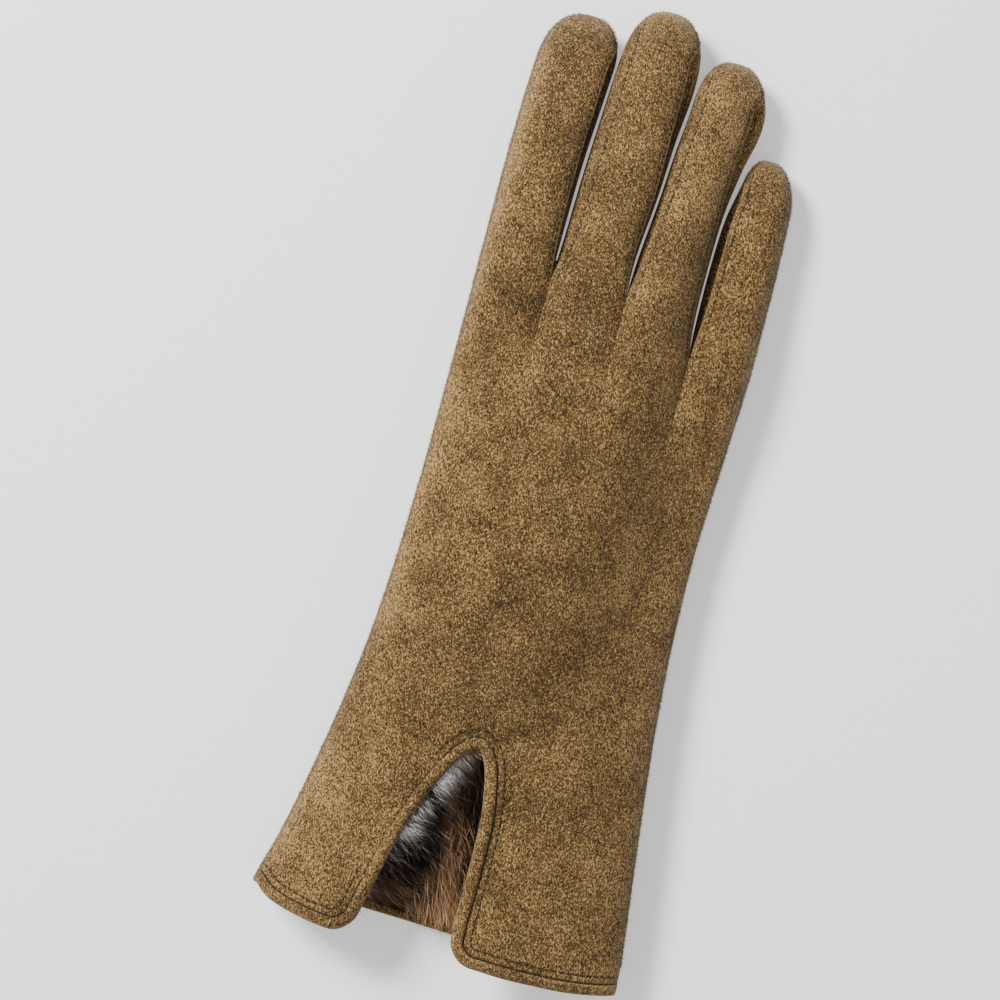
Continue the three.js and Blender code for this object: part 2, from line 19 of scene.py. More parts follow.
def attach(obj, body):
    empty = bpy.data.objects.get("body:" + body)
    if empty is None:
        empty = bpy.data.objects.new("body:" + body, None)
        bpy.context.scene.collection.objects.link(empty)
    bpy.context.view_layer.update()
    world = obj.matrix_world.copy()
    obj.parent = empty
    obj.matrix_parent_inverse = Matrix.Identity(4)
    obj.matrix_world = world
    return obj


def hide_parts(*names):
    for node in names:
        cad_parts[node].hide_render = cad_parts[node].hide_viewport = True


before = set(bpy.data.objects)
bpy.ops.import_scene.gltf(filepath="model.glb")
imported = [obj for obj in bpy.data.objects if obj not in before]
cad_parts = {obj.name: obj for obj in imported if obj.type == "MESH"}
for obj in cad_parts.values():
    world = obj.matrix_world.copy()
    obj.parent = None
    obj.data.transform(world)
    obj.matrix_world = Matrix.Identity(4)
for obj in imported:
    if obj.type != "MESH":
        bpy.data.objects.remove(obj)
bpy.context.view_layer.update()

log = logging.getLogger("glove")

MM = 0.001
CENTRE = np.array([-3.32, 134.33, 0.0])
WELD = 0.002

SUEDE = 1.5
LINING_GAP = 0.65
BACKING = 0.9
GAP = 0.3
SLIT_TOP = 60.5
CORNER = 4.2
HIGHEST_CROTCH = 188.0
Colour = tuple[float, float, float]


class Side(Enum):
    """The two sides of a finger, or neither."""

    LEFT = "left"
    RIGHT = "right"
    NONE = "none"


class Face(Enum):
    """The two faces of the glove."""

    BACK = "back"
    PALM = "palm"


class CuffPiece(Enum):
    """The pieces of the cuff below the slit's top: two flaps of the back, and the palm."""

    LEFT = "left"
    RIGHT = "right"
    PALM = "palm"


def smooth(value: np.ndarray, low: float, high: float) -> np.ndarray:
    """Eases from 0 at low to 1 at high."""
    share = np.clip((np.asarray(value, dtype=float) - low) / (high - low), 0, 1)
    return share * share * (3 - 2 * share)


def band(value: np.ndarray, rises: tuple[float, float], falls: tuple[float, float]) -> np.ndarray:
    """Eases from 0 to 1 over one stretch and back to 0 over a later one."""
    return smooth(value, *rises) * (1 - smooth(value, *falls))


def ridge(value: np.ndarray, middle: np.ndarray, wide: float) -> np.ndarray:
    """1 at the middle, and falling away smoothly on both sides of it."""
    return np.exp(-(((value - middle) / wide) ** 2))


def between(low: np.ndarray, high: np.ndarray, share: np.ndarray) -> np.ndarray:
    """The point a share of the way from low to high."""
    return low + (high - low) * share


def arch(place: np.ndarray, power: float) -> np.ndarray:
    """A quarter of a rounded section: 1 in the middle and 0 at the edge."""
    share = np.minimum(np.abs(place), 1)
    return np.where(share > 1 - 1e-9, 0.0, (1 - share**power) ** (1 / power))


def place_between(x: np.ndarray, left: np.ndarray, right: np.ndarray) -> np.ndarray:
    """Where x lies between two edges, from -1 to 1, and 0 where the edges meet."""
    wide = np.maximum(right - left, WELD)
    return np.where(right - left < WELD, 0.0, (2 * x - left - right) / wide)


def crowd_both(share: np.ndarray) -> np.ndarray:
    """Even shares moved closer together towards both ends."""
    return between(share, (1 - np.cos(share * math.pi)) / 2, 0.75)


def crowd_low(share: np.ndarray) -> np.ndarray:
    """Even shares moved closer together towards 0."""
    return between(share, 1 - np.cos(share * math.pi / 2), 0.75)


def crowd_high(share: np.ndarray) -> np.ndarray:
    """Even shares moved closer together towards 1."""
    return between(share, np.sin(share * math.pi / 2), 0.75)


def steps(*keys: float, step: float) -> np.ndarray:
    """Places from the first key to the last.

    Args:
        keys: Places that are all among the result.
        step: About how far apart the places are.

    Returns:
        The places in order.
    """
    rows = [np.array([keys[0]])]
    for low, high in zip(keys, keys[1:]):
        count = max(1, round((high - low) / step))
        rows.append(np.linspace(low, high, count + 1)[1:])
    return np.concatenate(rows)


def grid_faces(rows: int, columns: int, start: int = 0) -> list[tuple[int, ...]]:
    """The faces of a grid of points that are numbered row by row from start."""
    corners = [start + j * columns + i for j in range(rows - 1) for i in range(columns - 1)]
    return [(a, a + 1, a + columns + 1, a + columns) for a in corners]


@dataclass(frozen=True)
class Track:
    """A size that changes along the glove, on a smooth curve through its stations."""

    stations: tuple[float, ...]
    sizes: tuple[float, ...]

    def at(self, place: np.ndarray) -> np.ndarray:
        """The size at a place, and past the ends the size of the last station.

        Args:
            place: Where along the stations, in mm.

        Returns:
            The sizes there, in mm.
        """
        place = np.asarray(place, dtype=float)
        where = np.array(self.stations)
        size = np.array(self.sizes)
        last = len(where) - 1
        before = np.maximum(np.arange(last + 1) - 1, 0)
        after = np.minimum(np.arange(last + 1) + 1, last)
        slope = (size[after] - size[before]) / (where[after] - where[before])
        k = np.clip(np.searchsorted(where, place, side="left") - 1, 0, last - 1)
        step = where[k + 1] - where[k]
        share = np.clip((place - where[k]) / step, 0, 1)
        rise = size[k + 1] - size[k]
        leave = slope[k] * step - rise
        arrive = rise - slope[k + 1] * step
        return size[k] + rise * share + share * (1 - share) * (leave * (1 - share) + arrive * share)


HAND_STATIONS = (0, 8, 20, 40, 60, 80, 100, 125, 150, 177, 188)
HAND_EDGE = {
    Side.LEFT: Track(
        HAND_STATIONS, (-57.6, -55.8, -52.6, -48.7, -45.6, -43.1, -41.8, -41.2, -41.2, -41.4, -41.6)
    ),
    Side.RIGHT: Track(HAND_STATIONS, (49.8, 49.4, 47.9, 45.2, 42.7, 40.6, 39.2, 38.5, 39.3, 40.2, 40.1)),
}
HAND_LEFT, HAND_RIGHT = HAND_EDGE.values()
HAND_THICK = Track(HAND_STATIONS, (23, 23.5, 24, 24, 23.5, 22.2, 20.8, 20, 19.5, 18.5, 18))

RAIL_STATIONS = (60.5, 120, 177, 188)
RAILS = (
    Track(RAIL_STATIONS, (-22, -21, -20.8, -20.9)),
    Track(RAIL_STATIONS, (6.5, 3, 0.9, 0.6)),
    Track(RAIL_STATIONS, (24.5, 23, 22, 22)),
)

SLIT_STATIONS = (0, 9, 22, 32, 41, 48, 54, 58, 60, 60.5)
SLIT = {
    CuffPiece.LEFT: Track(SLIT_STATIONS, (-29, -27.2, -24.5, -22, -19, -16, -12.8, -9.9, -7.4, -5.5)),
    CuffPiece.RIGHT: Track(SLIT_STATIONS, (4.3, 3.5, 3.5, 3.3, 2.8, 1.6, 0.1, -1.9, -3.8, -5.5)),
}

HEM = {
    Face.BACK: Track((-54.5, -50, -42, -34, -28, 4, 20, 36, 49), (7.6, 4.6, 2.5, 1.5, 1.4, 1.4, 1, 1.6, 3.4)),
    Face.PALM: Track((-54.5, -40, -20, 0, 25, 49), (7.6, 7.2, 6.9, 6.3, 4.8, 3.4)),
}


@dataclass(frozen=True)
class Finger:
    """A finger's outline seen from above, with its seams' insets on the back and its thickness."""

    name: str
    tip: float
    cap: float
    left_crotch: float
    right_crotch: float
    outer: Side
    stations: tuple[float, ...]
    left: tuple[float, ...]
    right: tuple[float, ...]
    seam_left: tuple[float, ...]
    seam_right: tuple[float, ...]
    thick: tuple[float, ...]

    def size(self, column: str, y: np.ndarray) -> np.ndarray:
        """One of the finger's sizes along it."""
        return Track(self.stations, getattr(self, column)).at(y)

    def crotch(self, side: Side) -> float:
        """How far up the glove the finger parts from its neighbour on a side."""
        return self.left_crotch if side is Side.LEFT else self.right_crotch


FINGERS = (
    Finger(
        "index", 263.3, 14, 188, 188, Side.LEFT,
        stations=(188, 200, 222, 245, 263.3),
        left=(-41.6, -41.7, -41.9, -41.5, -40),
        right=(-20.9, -21, -20.8, -19.7, -18.9),
        seam_left=(0, 0, 0, 0, 0),
        seam_right=(0, 0.9, 1.3, 1.7, 1.7),
        thick=(18, 18, 17.5, 16.5, 15),
    ),
    Finger(
        "middle", 270.2, 15, 188, 188, Side.NONE,
        stations=(188, 200, 218, 235, 251, 270.2),
        left=(-20.9, -20.4, -20.1, -19.5, -18.8, -17.5),
        right=(0.6, 0.3, 1.7, 2.5, 3.7, 2.6),
        seam_left=(0, 1.4, 1.8, 1.8, 1.5, 1.5),
        seam_right=(0, 0.7, 1, 1.7, 2.9, 2.7),
        thick=(18, 18, 17.5, 17, 16.5, 15),
    ),
    Finger(
        "ring", 261.3, 15, 188, 177, Side.NONE,
        stations=(177, 188, 200, 218, 232, 245, 261.3),
        left=(0.9, 0.6, 0.9, 2.3, 3.1, 4.2, 4.3),
        right=(22, 20.9, 20.6, 20.9, 22.6, 25, 23.5),
        seam_left=(0, 0, 1.3, 1.5, 1.5, 1.5, 1.5),
        seam_right=(0, 0.6, 0.8, 1.1, 2.4, 3.8, 3.2),
        thick=(18, 18, 17.5, 17, 16.5, 16, 14.5),
    ),
    Finger(
        "little", 237.6, 14, 177, 177, Side.RIGHT,
        stations=(177, 190, 205, 218, 228, 237.6),
        left=(22, 21.4, 21.2, 21.7, 23.2, 22.8),
        right=(40.2, 40.1, 39.9, 39.4, 38.7, 37),
        seam_left=(0, 1.6, 2.1, 1.8, 1.5, 1.4),
        seam_right=(0, 0, 0, 0, 0, 0),
        thick=(18, 16.5, 16, 15.5, 15, 14),
    ),
)


@dataclass(frozen=True)
class Blot:
    """A soft oval on the glove's back: a dent where deep is positive, or in the tone table a patch of tone or
    of painted light and shade, where deep is a shade of tone.
    """

    x: float
    y: float
    wide: float
    long: float
    turn: float
    deep: float

    def at(self, x: np.ndarray, y: np.ndarray) -> np.ndarray:
        """How strong the blot is at each place.

        Args:
            x: Places across the glove.
            y: Places along it.

        Returns:
            The depth in mm, or the shade.
        """
        angle = math.radians(self.turn)
        dx = x - self.x
        dy = y - self.y
        across = (dx * math.cos(angle) + dy * math.sin(angle)) / self.wide
        along = (dy * math.cos(angle) - dx * math.sin(angle)) / self.long
        return self.deep * np.exp(-across * across - along * along)


DENTS = (
    Blot(33, 163, 3.2, 24, 2, 1.3),
    Blot(-34.5, 160, 2.6, 16, -3, 0.9),
    Blot(-29, 133, 3.4, 15, -38, 1),
    Blot(-23, 147, 4.5, 15, -30, -0.8),
    Blot(-9, 184, 6, 7, -35, 1.2),
    Blot(-29, 182, 5, 8, 20, 0.8),
    Blot(3, 142, 8, 20, 12, 0.9),
    Blot(12, 104, 14, 12, 20, 0.7),
    Blot(6, 32, 3, 24, -3, 0.9),
)

# Patches of tone on the glove's back, darker where they are negative: broad lighter and darker patches, and
# painted light and shade, with lighter strips along the left edges and the left flap where the light from the
# left falls, darker lines in the dents by the crotches and edges, and lighter ridges beside them.
TONE_PATCHES_AND_PAINTED_LIGHT = (
    Blot(-18, 180, 22, 7, 0, -0.16),
    Blot(-31, 238, 10, 24, 0, -0.05),
    Blot(-32, 205, 8, 12, 0, 0.07),
    Blot(-39, 120, 3.2, 52, 0, 0.2),
    Blot(-40, 215, 2.4, 40, 0, 0.16),
    Blot(34, 130, 8, 46, 0, 0.1),
    Blot(33, 163, 1.8, 20, 2, -0.16),
    Blot(-32, 167, 2.5, 5, 0, -0.16),
    Blot(-22, 150, 3.5, 12, -30, 0.12),
    Blot(-35, 135, 3, 10, -35, 0.1),
    Blot(8, 120, 26, 44, 0, -0.09),
    Blot(4, 70, 30, 26, 0, -0.08),
    Blot(11, 222, 12, 28, 5, 0.1),
    Blot(31, 212, 10, 26, 0, -0.04),
    Blot(-11, 235, 9, 30, 0, -0.04),
    Blot(-46, 20, 10, 28, 8, 0.18),
)


@dataclass(frozen=True)
class GloveForm:
    """The shape of the glove: its back and palm faces, worked out at any place across and along it."""

    edge_level: float = 0.45
    back_seam_level: float = 0.8
    palm_seam_level: float = 0.17
    hand_back: float = 2.5
    hand_palm: float = 4
    finger_back: float = 2.2
    finger_palm: float = 3
    between_seams: float = 2.6
    hand_flattened: float = 1.2
    finger_flattened: float = 1.15
    knuckle_blend: float = 34
    root_blend: tuple[float, float] = (-4, 14)
    cap_roundness: float = 2.3
    seam_closes: tuple[float, float] = (9.8, 6.6)
    seam_meets_edge: tuple[float, float] = (14, 6)
    bed_lift: float = 8.4
    bed_across: tuple[float, float] = (4, 31)
    bed_rises: tuple[float, float] = (52, 104)
    bed_falls: tuple[float, float] = (197, 292)
    relief: float = 0.34
    palm_shift: float = 2.7
    # Each wave's length and the way that it heads, in degrees.
    waves: tuple[tuple[float, float], ...] = (
        (31, 12), (19, 70), (47, -35), (12.5, 40), (8.3, -62), (24, 100), (6.2, 15),
    )

    def bed(self, x: np.ndarray, y: np.ndarray) -> np.ndarray:
        """How high the thumb holds up the surface under the palm face."""
        return self.bed_lift * (1 - smooth(x, *self.bed_across)) * band(y, self.bed_rises, self.bed_falls)

    def cap_share(self, finger: Finger, y: np.ndarray) -> np.ndarray:
        """How much of its full width and thickness a finger has near its tip."""
        along = (y - (finger.tip - finger.cap)) / finger.cap
        return np.where(along <= 0, 1.0, arch(np.clip(along, 0, 1), self.cap_roundness))

    def seam_open(self, finger: Finger, y: np.ndarray) -> np.ndarray:
        """1 where a finger's side strip has its full height, and 0 where the faces have met."""
        start, end = self.seam_closes
        return 1 - smooth(y, finger.tip - start, finger.tip - end)

    def edge(self, lane: int, side: Side, y: np.ndarray, at_seam: bool = True) -> np.ndarray:
        """The x of a finger's edge or of its back seam, above and below the crotch beside it.

        Args:
            lane: The finger's number, from 0 for the index.
            side: Which edge.
            y: Places along the glove.
            at_seam: Whether the seam is wanted, which lies in from the edge.

        Returns:
            The x of the edge at each place.
        """
        finger = FINGERS[lane]
        y = np.asarray(y, dtype=float)
        rail = HAND_EDGE[side] if finger.outer is side else RAILS[lane - 1 if side is Side.LEFT else lane]
        outline = finger.size(side.value, y)
        seam = finger.size("seam_" + side.value, y)
        start, end = self.seam_meets_edge
        fades = smooth(y, finger.tip - start, finger.tip - end)
        inset = seam * (1 - fades) if at_seam else np.zeros_like(y)
        middle = (finger.size("left", y) + finger.size("right", y)) / 2
        inwards = inset if side is Side.LEFT else -inset
        high = middle + (outline + inwards - middle) * self.cap_share(finger, y)
        return np.where(y <= finger.crotch(side), rail.at(y), high)

    def edges(self, lane: int, y: np.ndarray, at_seam: bool = True) -> tuple[np.ndarray, np.ndarray]:
        """The x of both edges or both back seams of a finger."""
        return self.edge(lane, Side.LEFT, y, at_seam), self.edge(lane, Side.RIGHT, y, at_seam)

    def hand_share(self, x: np.ndarray, y: np.ndarray) -> np.ndarray:
        """How far out towards an edge of the whole glove a place is, from -1 to 1."""
        last = len(FINGERS) - 1
        return place_between(x, self.edge(0, Side.LEFT, y, False), self.edge(last, Side.RIGHT, y, False))

    def hand_level(self, x: np.ndarray, y: np.ndarray, face: Face) -> np.ndarray:
        """The level of the hand's own section.

        Args:
            x: Places across the glove.
            y: Places along it.
            face: Back or palm.

        Returns:
            The level as a share of the hand's thickness.
        """
        place = place_between(x, HAND_LEFT.at(y), HAND_RIGHT.at(y))
        if face is Face.BACK:
            return self.edge_level + (1 - self.edge_level) * arch(place, self.hand_back)
        full = np.minimum(1, self.hand_flattened * arch(place, self.hand_palm))
        return self.edge_level * (1 - full)

    def finger_level(self, lane: int, x: np.ndarray, y: np.ndarray, face: Face) -> np.ndarray:
        """The level of one finger's section, between its seams.

        Args:
            lane: The finger's number.
            x: Places across the glove.
            y: Places along it.
            face: Back or palm.

        Returns:
            The level as a share of the finger's thickness.
        """
        finger = FINGERS[lane]
        place = place_between(x, *self.edges(lane, y))
        outer = place < 0 if finger.outer is Side.LEFT else place >= 0
        has_outer = finger.outer is not Side.NONE
        strip = np.where(outer & has_outer, 0.0, self.seam_open(finger, y))
        on_back = face is Face.BACK
        seam = between(self.edge_level, self.back_seam_level if on_back else self.palm_seam_level, strip)
        flat = np.clip(1 - np.abs(place) ** self.between_seams, 0, 1)
        full = between(arch(place, self.finger_back if on_back else self.finger_palm), flat, strip)
        if on_back:
            level = between(seam, 1.0, full)
        else:
            level = seam * (1 - np.minimum(1, self.finger_flattened * full))
        return self.edge_level + (level - self.edge_level) * self.cap_share(finger, y)

    def parted(self, lane: int, x: np.ndarray, y: np.ndarray) -> np.ndarray:
        """How far the fingers have parted.

        Args:
            lane: The finger's number.
            x: Places across the glove.
            y: Places along it.

        Returns:
            0 on the flat of the hand and 1 where the fingers are apart.
        """
        finger = FINGERS[lane]
        left, right = self.edges(lane, y, False)
        share = np.clip((x - left) / np.maximum(right - left, WELD), 0, 1)
        crotch = between(finger.left_crotch, finger.right_crotch, share)
        return smooth((y - crotch) / self.knuckle_blend, -1, 0)

    def wander(self, x: np.ndarray, y: np.ndarray, face: Face) -> np.ndarray:
        """The slight unevenness of soft suede.

        Args:
            x: Places across the glove.
            y: Places along it.
            face: Back or palm.

        Returns:
            Values from -1 to 1 or so.
        """
        shift = 0.0 if face is Face.BACK else self.palm_shift
        total = np.zeros(np.broadcast(x, y).shape)
        for number, (length, heading) in enumerate(self.waves):
            angle = math.radians(heading)
            along = x * math.cos(angle) + y * math.sin(angle)
            bend = 1.6 * np.sin((y - x) / (17 + 5 * number) + number)
            total = total + (length / 40) * np.sin(2 * math.pi * along / length + bend + shift + number * 2.1)
        return total / 2.4

    def height(self, lane: int, x: np.ndarray, y: np.ndarray, face: Face) -> np.ndarray:
        """The z of the back or palm face.

        Args:
            lane: The finger whose share of the face this is.
            x: Places across the glove.
            y: Places along it.
            face: Back or palm.

        Returns:
            The height of the suede's outer surface.
        """
        finger = FINGERS[lane]
        x, y = np.broadcast_arrays(np.asarray(x, dtype=float), np.asarray(y, dtype=float))
        parted = self.parted(lane, x, y)
        hand_thick = HAND_THICK.at(y)
        hand = hand_thick * self.hand_level(x, np.minimum(y, HIGHEST_CROTCH), face)
        rooted = smooth(y - HIGHEST_CROTCH, *self.root_blend)
        thick = between(hand_thick, finger.size("thick", y), rooted)
        own = thick * self.finger_level(lane, x, y, face)
        lane_place = place_between(x, *self.edges(lane, y))
        hand_fade = arch(np.clip(self.hand_share(x, y), -1, 1), 4)
        lane_fade = np.clip(1 - np.abs(lane_place) ** 4, 0, 1) * self.cap_share(finger, y)
        uneven = self.relief * self.wander(x, y, face) * between(hand_fade, lane_fade, parted)
        dent = sum(blot.at(x, y) for blot in DENTS) * hand_fade if face is Face.BACK else 0.0
        level = self.bed(x, y) + between(hand, own, parted) - dent + uneven
        return level if face is Face.BACK else np.maximum(level, 0)

    def cuff(self, piece: CuffPiece, share: np.ndarray, up: np.ndarray) -> np.ndarray:
        """Points of the cuff below the slit's top.

        Args:
            piece: Which piece of the cuff.
            share: Places across the piece, from 0 to 1.
            up: Places up from its hem, from 0 to 1 at the slit's top.

        Returns:
            The points, as rows, columns and x, y, z.
        """
        on_back = piece is not CuffPiece.PALM
        face = Face.BACK if on_back else Face.PALM
        left_track = SLIT[piece] if piece is CuffPiece.RIGHT else HAND_LEFT
        right_track = SLIT[piece] if piece is CuffPiece.LEFT else HAND_RIGHT
        crowd = {CuffPiece.LEFT: crowd_low, CuffPiece.RIGHT: crowd_high, CuffPiece.PALM: crowd_both}[piece]
        share, up = np.broadcast_arrays(np.asarray(share, dtype=float), np.asarray(up, dtype=float))
        across = crowd(share)
        start = np.zeros_like(across)
        for _ in range(4):
            start = HEM[face].at(between(left_track.at(start), right_track.at(start), across))
        y = between(start, SLIT_TOP, up)
        x = between(left_track.at(y), right_track.at(y), across)
        if on_back:
            slit = SLIT[piece].at(y)
            inwards = -1 if piece is CuffPiece.LEFT else 1
            from_slit = np.abs(x - slit)
            from_hem = y - start
            near = (from_slit < CORNER) & (from_hem < CORNER)
            u = np.where(near, 1 - from_slit / CORNER, 0)
            v = np.where(near, 1 - from_hem / CORNER, 0)
            x = np.where(near, slit + inwards * CORNER * (1 - u * np.sqrt(1 - v * v / 2)), x)
            y = np.where(near, start + CORNER * (1 - v * np.sqrt(1 - u * u / 2)), y)
        return np.stack([x, y, self.height(1, x, y, face)], axis=-1)


FORM = GloveForm()


@dataclass
class Patch:
    """A grid of points, as rows, columns and x, y, z, whose faces look up unless it is turned over."""

    points: np.ndarray
    turned: bool = False
    skip: np.ndarray | None = None
    marks: dict[str, np.ndarray] = field(default_factory=dict)


@dataclass
class Skin:
    """An open surface: points and outward normals, faces, and a value at each point for each mark."""

    points: np.ndarray
    normals: np.ndarray
    faces: list[tuple[int, ...]]
    marks: dict[str, np.ndarray]

    def rims(self) -> list[tuple[int, int]]:
        """The edges that only one face uses, each in that face's own direction."""
        used = {(a, b) for face in self.faces for a, b in zip(face, face[1:] + face[:1])}
        return [(a, b) for a, b in used if (b, a) not in used]


def plant(points: np.ndarray) -> KDTree:
    """A search tree of points.

    Args:
        points: The points, which keep their numbers.

    Returns:
        The tree, ready to be searched.
    """
    tree = KDTree(len(points))
    for number, point in enumerate(points):
        tree.insert(point, number)
    tree.balance()
    return tree


def weld(patches: list[Patch]) -> Skin:
    """Joins patches where their points meet.

    Args:
        patches: The patches, which carry the same marks.

    Returns:
        One skin with normals that look out of the glove.
    """
    shell = bmesh.new()
    names = sorted({name for patch in patches for name in patch.marks})
    layers = {name: shell.verts.layers.float.new(name) for name in names}
    for patch in patches:
        rows, columns = patch.points.shape[:2]
        verts = [shell.verts.new(point) for point in patch.points.reshape(-1, 3)]
        for name, layer in layers.items():
            values = patch.marks.get(name, np.zeros((rows, columns))).reshape(-1)
            for vert, value in zip(verts, values):
                vert[layer] = value
        skip = np.zeros((rows - 1, columns - 1), bool) if patch.skip is None else patch.skip
        for corners, left_out in zip(grid_faces(rows, columns), skip.ravel()):
            if not left_out:
                shell.faces.new([verts[corner] for corner in (corners[::-1] if patch.turned else corners)])
    bmesh.ops.remove_doubles(shell, verts=shell.verts, dist=WELD)
    loose = [vert for vert in shell.verts if not vert.link_faces]
    bmesh.ops.delete(shell, geom=loose, context="VERTS")
    shell.normal_update()
    shell.verts.index_update()
    shell.verts.ensure_lookup_table()
    skin = Skin(
        points=np.array([vert.co for vert in shell.verts]),
        normals=np.array([vert.normal for vert in shell.verts]),
        faces=[tuple(vert.index for vert in face.verts) for face in shell.faces],
        marks={name: np.array([vert[layer] for vert in shell.verts]) for name, layer in layers.items()},
    )
    shell.free()
    return skin


def make_mesh(
    name: str,
    points: np.ndarray,
    faces: list[tuple[int, ...]],
    marks: dict[str, np.ndarray] | None = None,
    sharp: float = 50,
) -> bpy.types.Object:
    """Makes an object whose place is in its mesh.

    Args:
        name: The object's name.
        points: Its points on the pattern, in mm.
        faces: Its faces, as numbers of points.
        marks: Values at each point, or three of them, stored as attributes.
        sharp: The angle past which an edge is sharp, in degrees.

    Returns:
        The object, linked to the scene.
    """
    mesh = bpy.data.meshes.new(name)
    mesh.from_pydata(((points - CENTRE) * MM).tolist(), [], faces)
    for mark, values in (marks or {}).items():
        kind, key = ("FLOAT_VECTOR", "vector") if values.ndim == 2 else ("FLOAT", "value")
        attribute = mesh.attributes.new(mark, kind, "POINT")
        attribute.data.foreach_set(key, values.astype(np.float32).ravel())
    mesh.polygons.foreach_set("use_smooth", [True] * len(mesh.polygons))
    mesh.set_sharp_from_angle(angle=math.radians(sharp))
    mesh.update()
    piece = bpy.data.objects.new(name, mesh)
    bpy.context.scene.collection.objects.link(piece)
    return piece


def make_wall(
    name: str,
    skin: Skin,
    depths: tuple[float, float | np.ndarray],
    finishes: tuple[bpy.types.Material, bpy.types.Material],
    level: bool = False,
) -> bpy.types.Object:
    """Gives a skin its wall.

    Args:
        name: The object's name.
        skin: The skin.
        depths: How deep under the skin the outer and the inner surface lie.
        finishes: The finish of the faces, and of the cut edges.
        level: Whether the wall is measured level, without the normals' height.

    Returns:
        A closed object.
    """
    normals = skin.normals.copy()
    if level:
        normals[:, 2] = 0
        normals /= np.maximum(np.linalg.norm(normals, axis=1, keepdims=True), 1e-6)
    count = len(skin.points)
    points = np.vstack([skin.points - normals * np.reshape(deep, (-1, 1)) for deep in depths])
    faces = list(skin.faces)
    faces += [tuple(number + count for number in reversed(face)) for face in skin.faces]
    rims = [(b, a, a + count, b + count) for a, b in skin.rims()]
    marks = {mark: np.concatenate([values, values]) for mark, values in skin.marks.items()}
    piece = make_mesh(name, points, faces + rims, marks)
    slots = np.zeros(len(faces) + len(rims), dtype=np.int32)
    slots[len(faces):] = 1
    for finish in finishes:
        piece.data.materials.append(finish)
    piece.data.polygons.foreach_set("material_index", slots)
    return piece


class NodeSheet:
    """A node tree being built, with short ways to add nodes and to link them."""

    def __init__(self, tree: bpy.types.NodeTree) -> None:
        """Starts on an empty tree."""
        self.tree = tree

    def add(self, kind: str, inputs: dict | None = None, **settings: object) -> bpy.types.Node:
        """Adds a node.

        Args:
            kind: The node's type.
            inputs: Values, or sockets to link from, for its inputs by name or number.
            settings: The node's own properties.

        Returns:
            The new node.
        """
        node = self.tree.nodes.new(kind)
        for key, value in settings.items():
            setattr(node, key, value)
        for key, value in (inputs or {}).items():
            self.put(self.entry(node, key), value)
        return node

    def entry(self, node: bpy.types.Node, key: str | int) -> bpy.types.NodeSocket:
        """A node's input by its name, among those in use, or by its number."""
        named = (socket for socket in node.inputs if socket.name == key and socket.enabled)
        return node.inputs[key] if isinstance(key, int) else next(named)

    def exit(self, node: bpy.types.Node) -> bpy.types.NodeSocket:
        """A node's first output in use."""
        return next(socket for socket in node.outputs if socket.enabled)

    def put(self, socket: bpy.types.NodeSocket, value: object) -> None:
        """Links an output to a socket, or sets the socket's value.

        Args:
            socket: The input.
            value: An output, a node whose first output is meant, or a plain value.
        """
        if isinstance(value, bpy.types.Node):
            value = self.exit(value)
        if isinstance(value, bpy.types.NodeSocket):
            self.tree.links.new(value, socket)
        else:
            socket.default_value = value

    def sum(self, kind: str, *values: object) -> bpy.types.NodeSocket:
        """The result of a Math node of the given kind on the given values."""
        return self.add("ShaderNodeMath", dict(enumerate(values)), operation=kind).outputs[0]

    def ease(
        self, value: object, low: float, high: float, start: float = 0, end: float = 1
    ) -> bpy.types.NodeSocket:
        """A value carried smoothly from one range to another."""
        ends = {"Value": value, "From Min": low, "From Max": high, "To Min": start, "To Max": end}
        return self.add("ShaderNodeMapRange", ends, interpolation_type="SMOOTHSTEP").outputs[0]

    def blend(self, share: object, first: object, second: object) -> bpy.types.NodeSocket:
        """Two colours mixed by a share."""
        colours = {"Factor": share, "A": first, "B": second}
        return self.exit(self.add("ShaderNodeMix", colours, data_type="RGBA"))

    def mark(self, name: str) -> bpy.types.NodeSocket:
        """In a shader, a value that the surface carries."""
        return self.add("ShaderNodeAttribute", attribute_name=name).outputs["Fac"]

    def carried(self, name: str, kind: str) -> bpy.types.Node:
        """In a growth tree, a value that the mesh carries."""
        return self.add("GeometryNodeInputNamedAttribute", {"Name": name}, data_type=kind)

    def chance(self, kind: str, low: object, high: object, seed: object) -> bpy.types.Node:
        """A random value between two."""
        return self.add("FunctionNodeRandomValue", {"Min": low, "Max": high, "Seed": seed}, data_type=kind)

    def scaled(self, vector: object, share: object) -> bpy.types.NodeSocket:
        """A vector made longer or shorter."""
        return self.add("ShaderNodeVectorMath", {0: vector, "Scale": share}, operation="SCALE").outputs[0]

    def turned(self, rotation: object, by: object) -> bpy.types.Node:
        """A rotation turned further about its own axes."""
        given = {"Rotation": rotation, "Rotate By": by}
        return self.add("FunctionNodeRotateRotation", given, rotation_space="LOCAL")

    def stored(self, geometry: object, name: str, domain: str, value: object) -> bpy.types.Node:
        """A geometry that carries a value from here on."""
        given = {"Geometry": geometry, "Name": name, "Value": value}
        return self.add("GeometryNodeStoreNamedAttribute", given, data_type="FLOAT", domain=domain)

    def finished(self, geometry: object, material: object) -> bpy.types.Node:
        """A geometry made smooth and given its material."""
        soft = self.add("GeometryNodeSetShadeSmooth", {"Geometry": geometry})
        return self.add("GeometryNodeSetMaterial", {"Geometry": soft, "Material": material})

    def surface(self, inputs: dict) -> None:
        """Ends a material in a Principled shader with the given inputs."""
        shader = self.add("ShaderNodeBsdfPrincipled", inputs)
        self.add("ShaderNodeOutputMaterial", {"Surface": shader.outputs[0]})


def new_material(name: str) -> tuple[bpy.types.Material, NodeSheet]:
    """Starts a material.

    Args:
        name: Its name.

    Returns:
        The material and the sheet of its nodes.
    """
    material = bpy.data.materials.new(name)
    material.use_nodes = True
    material.node_tree.nodes.clear()
    return material, NodeSheet(material.node_tree)


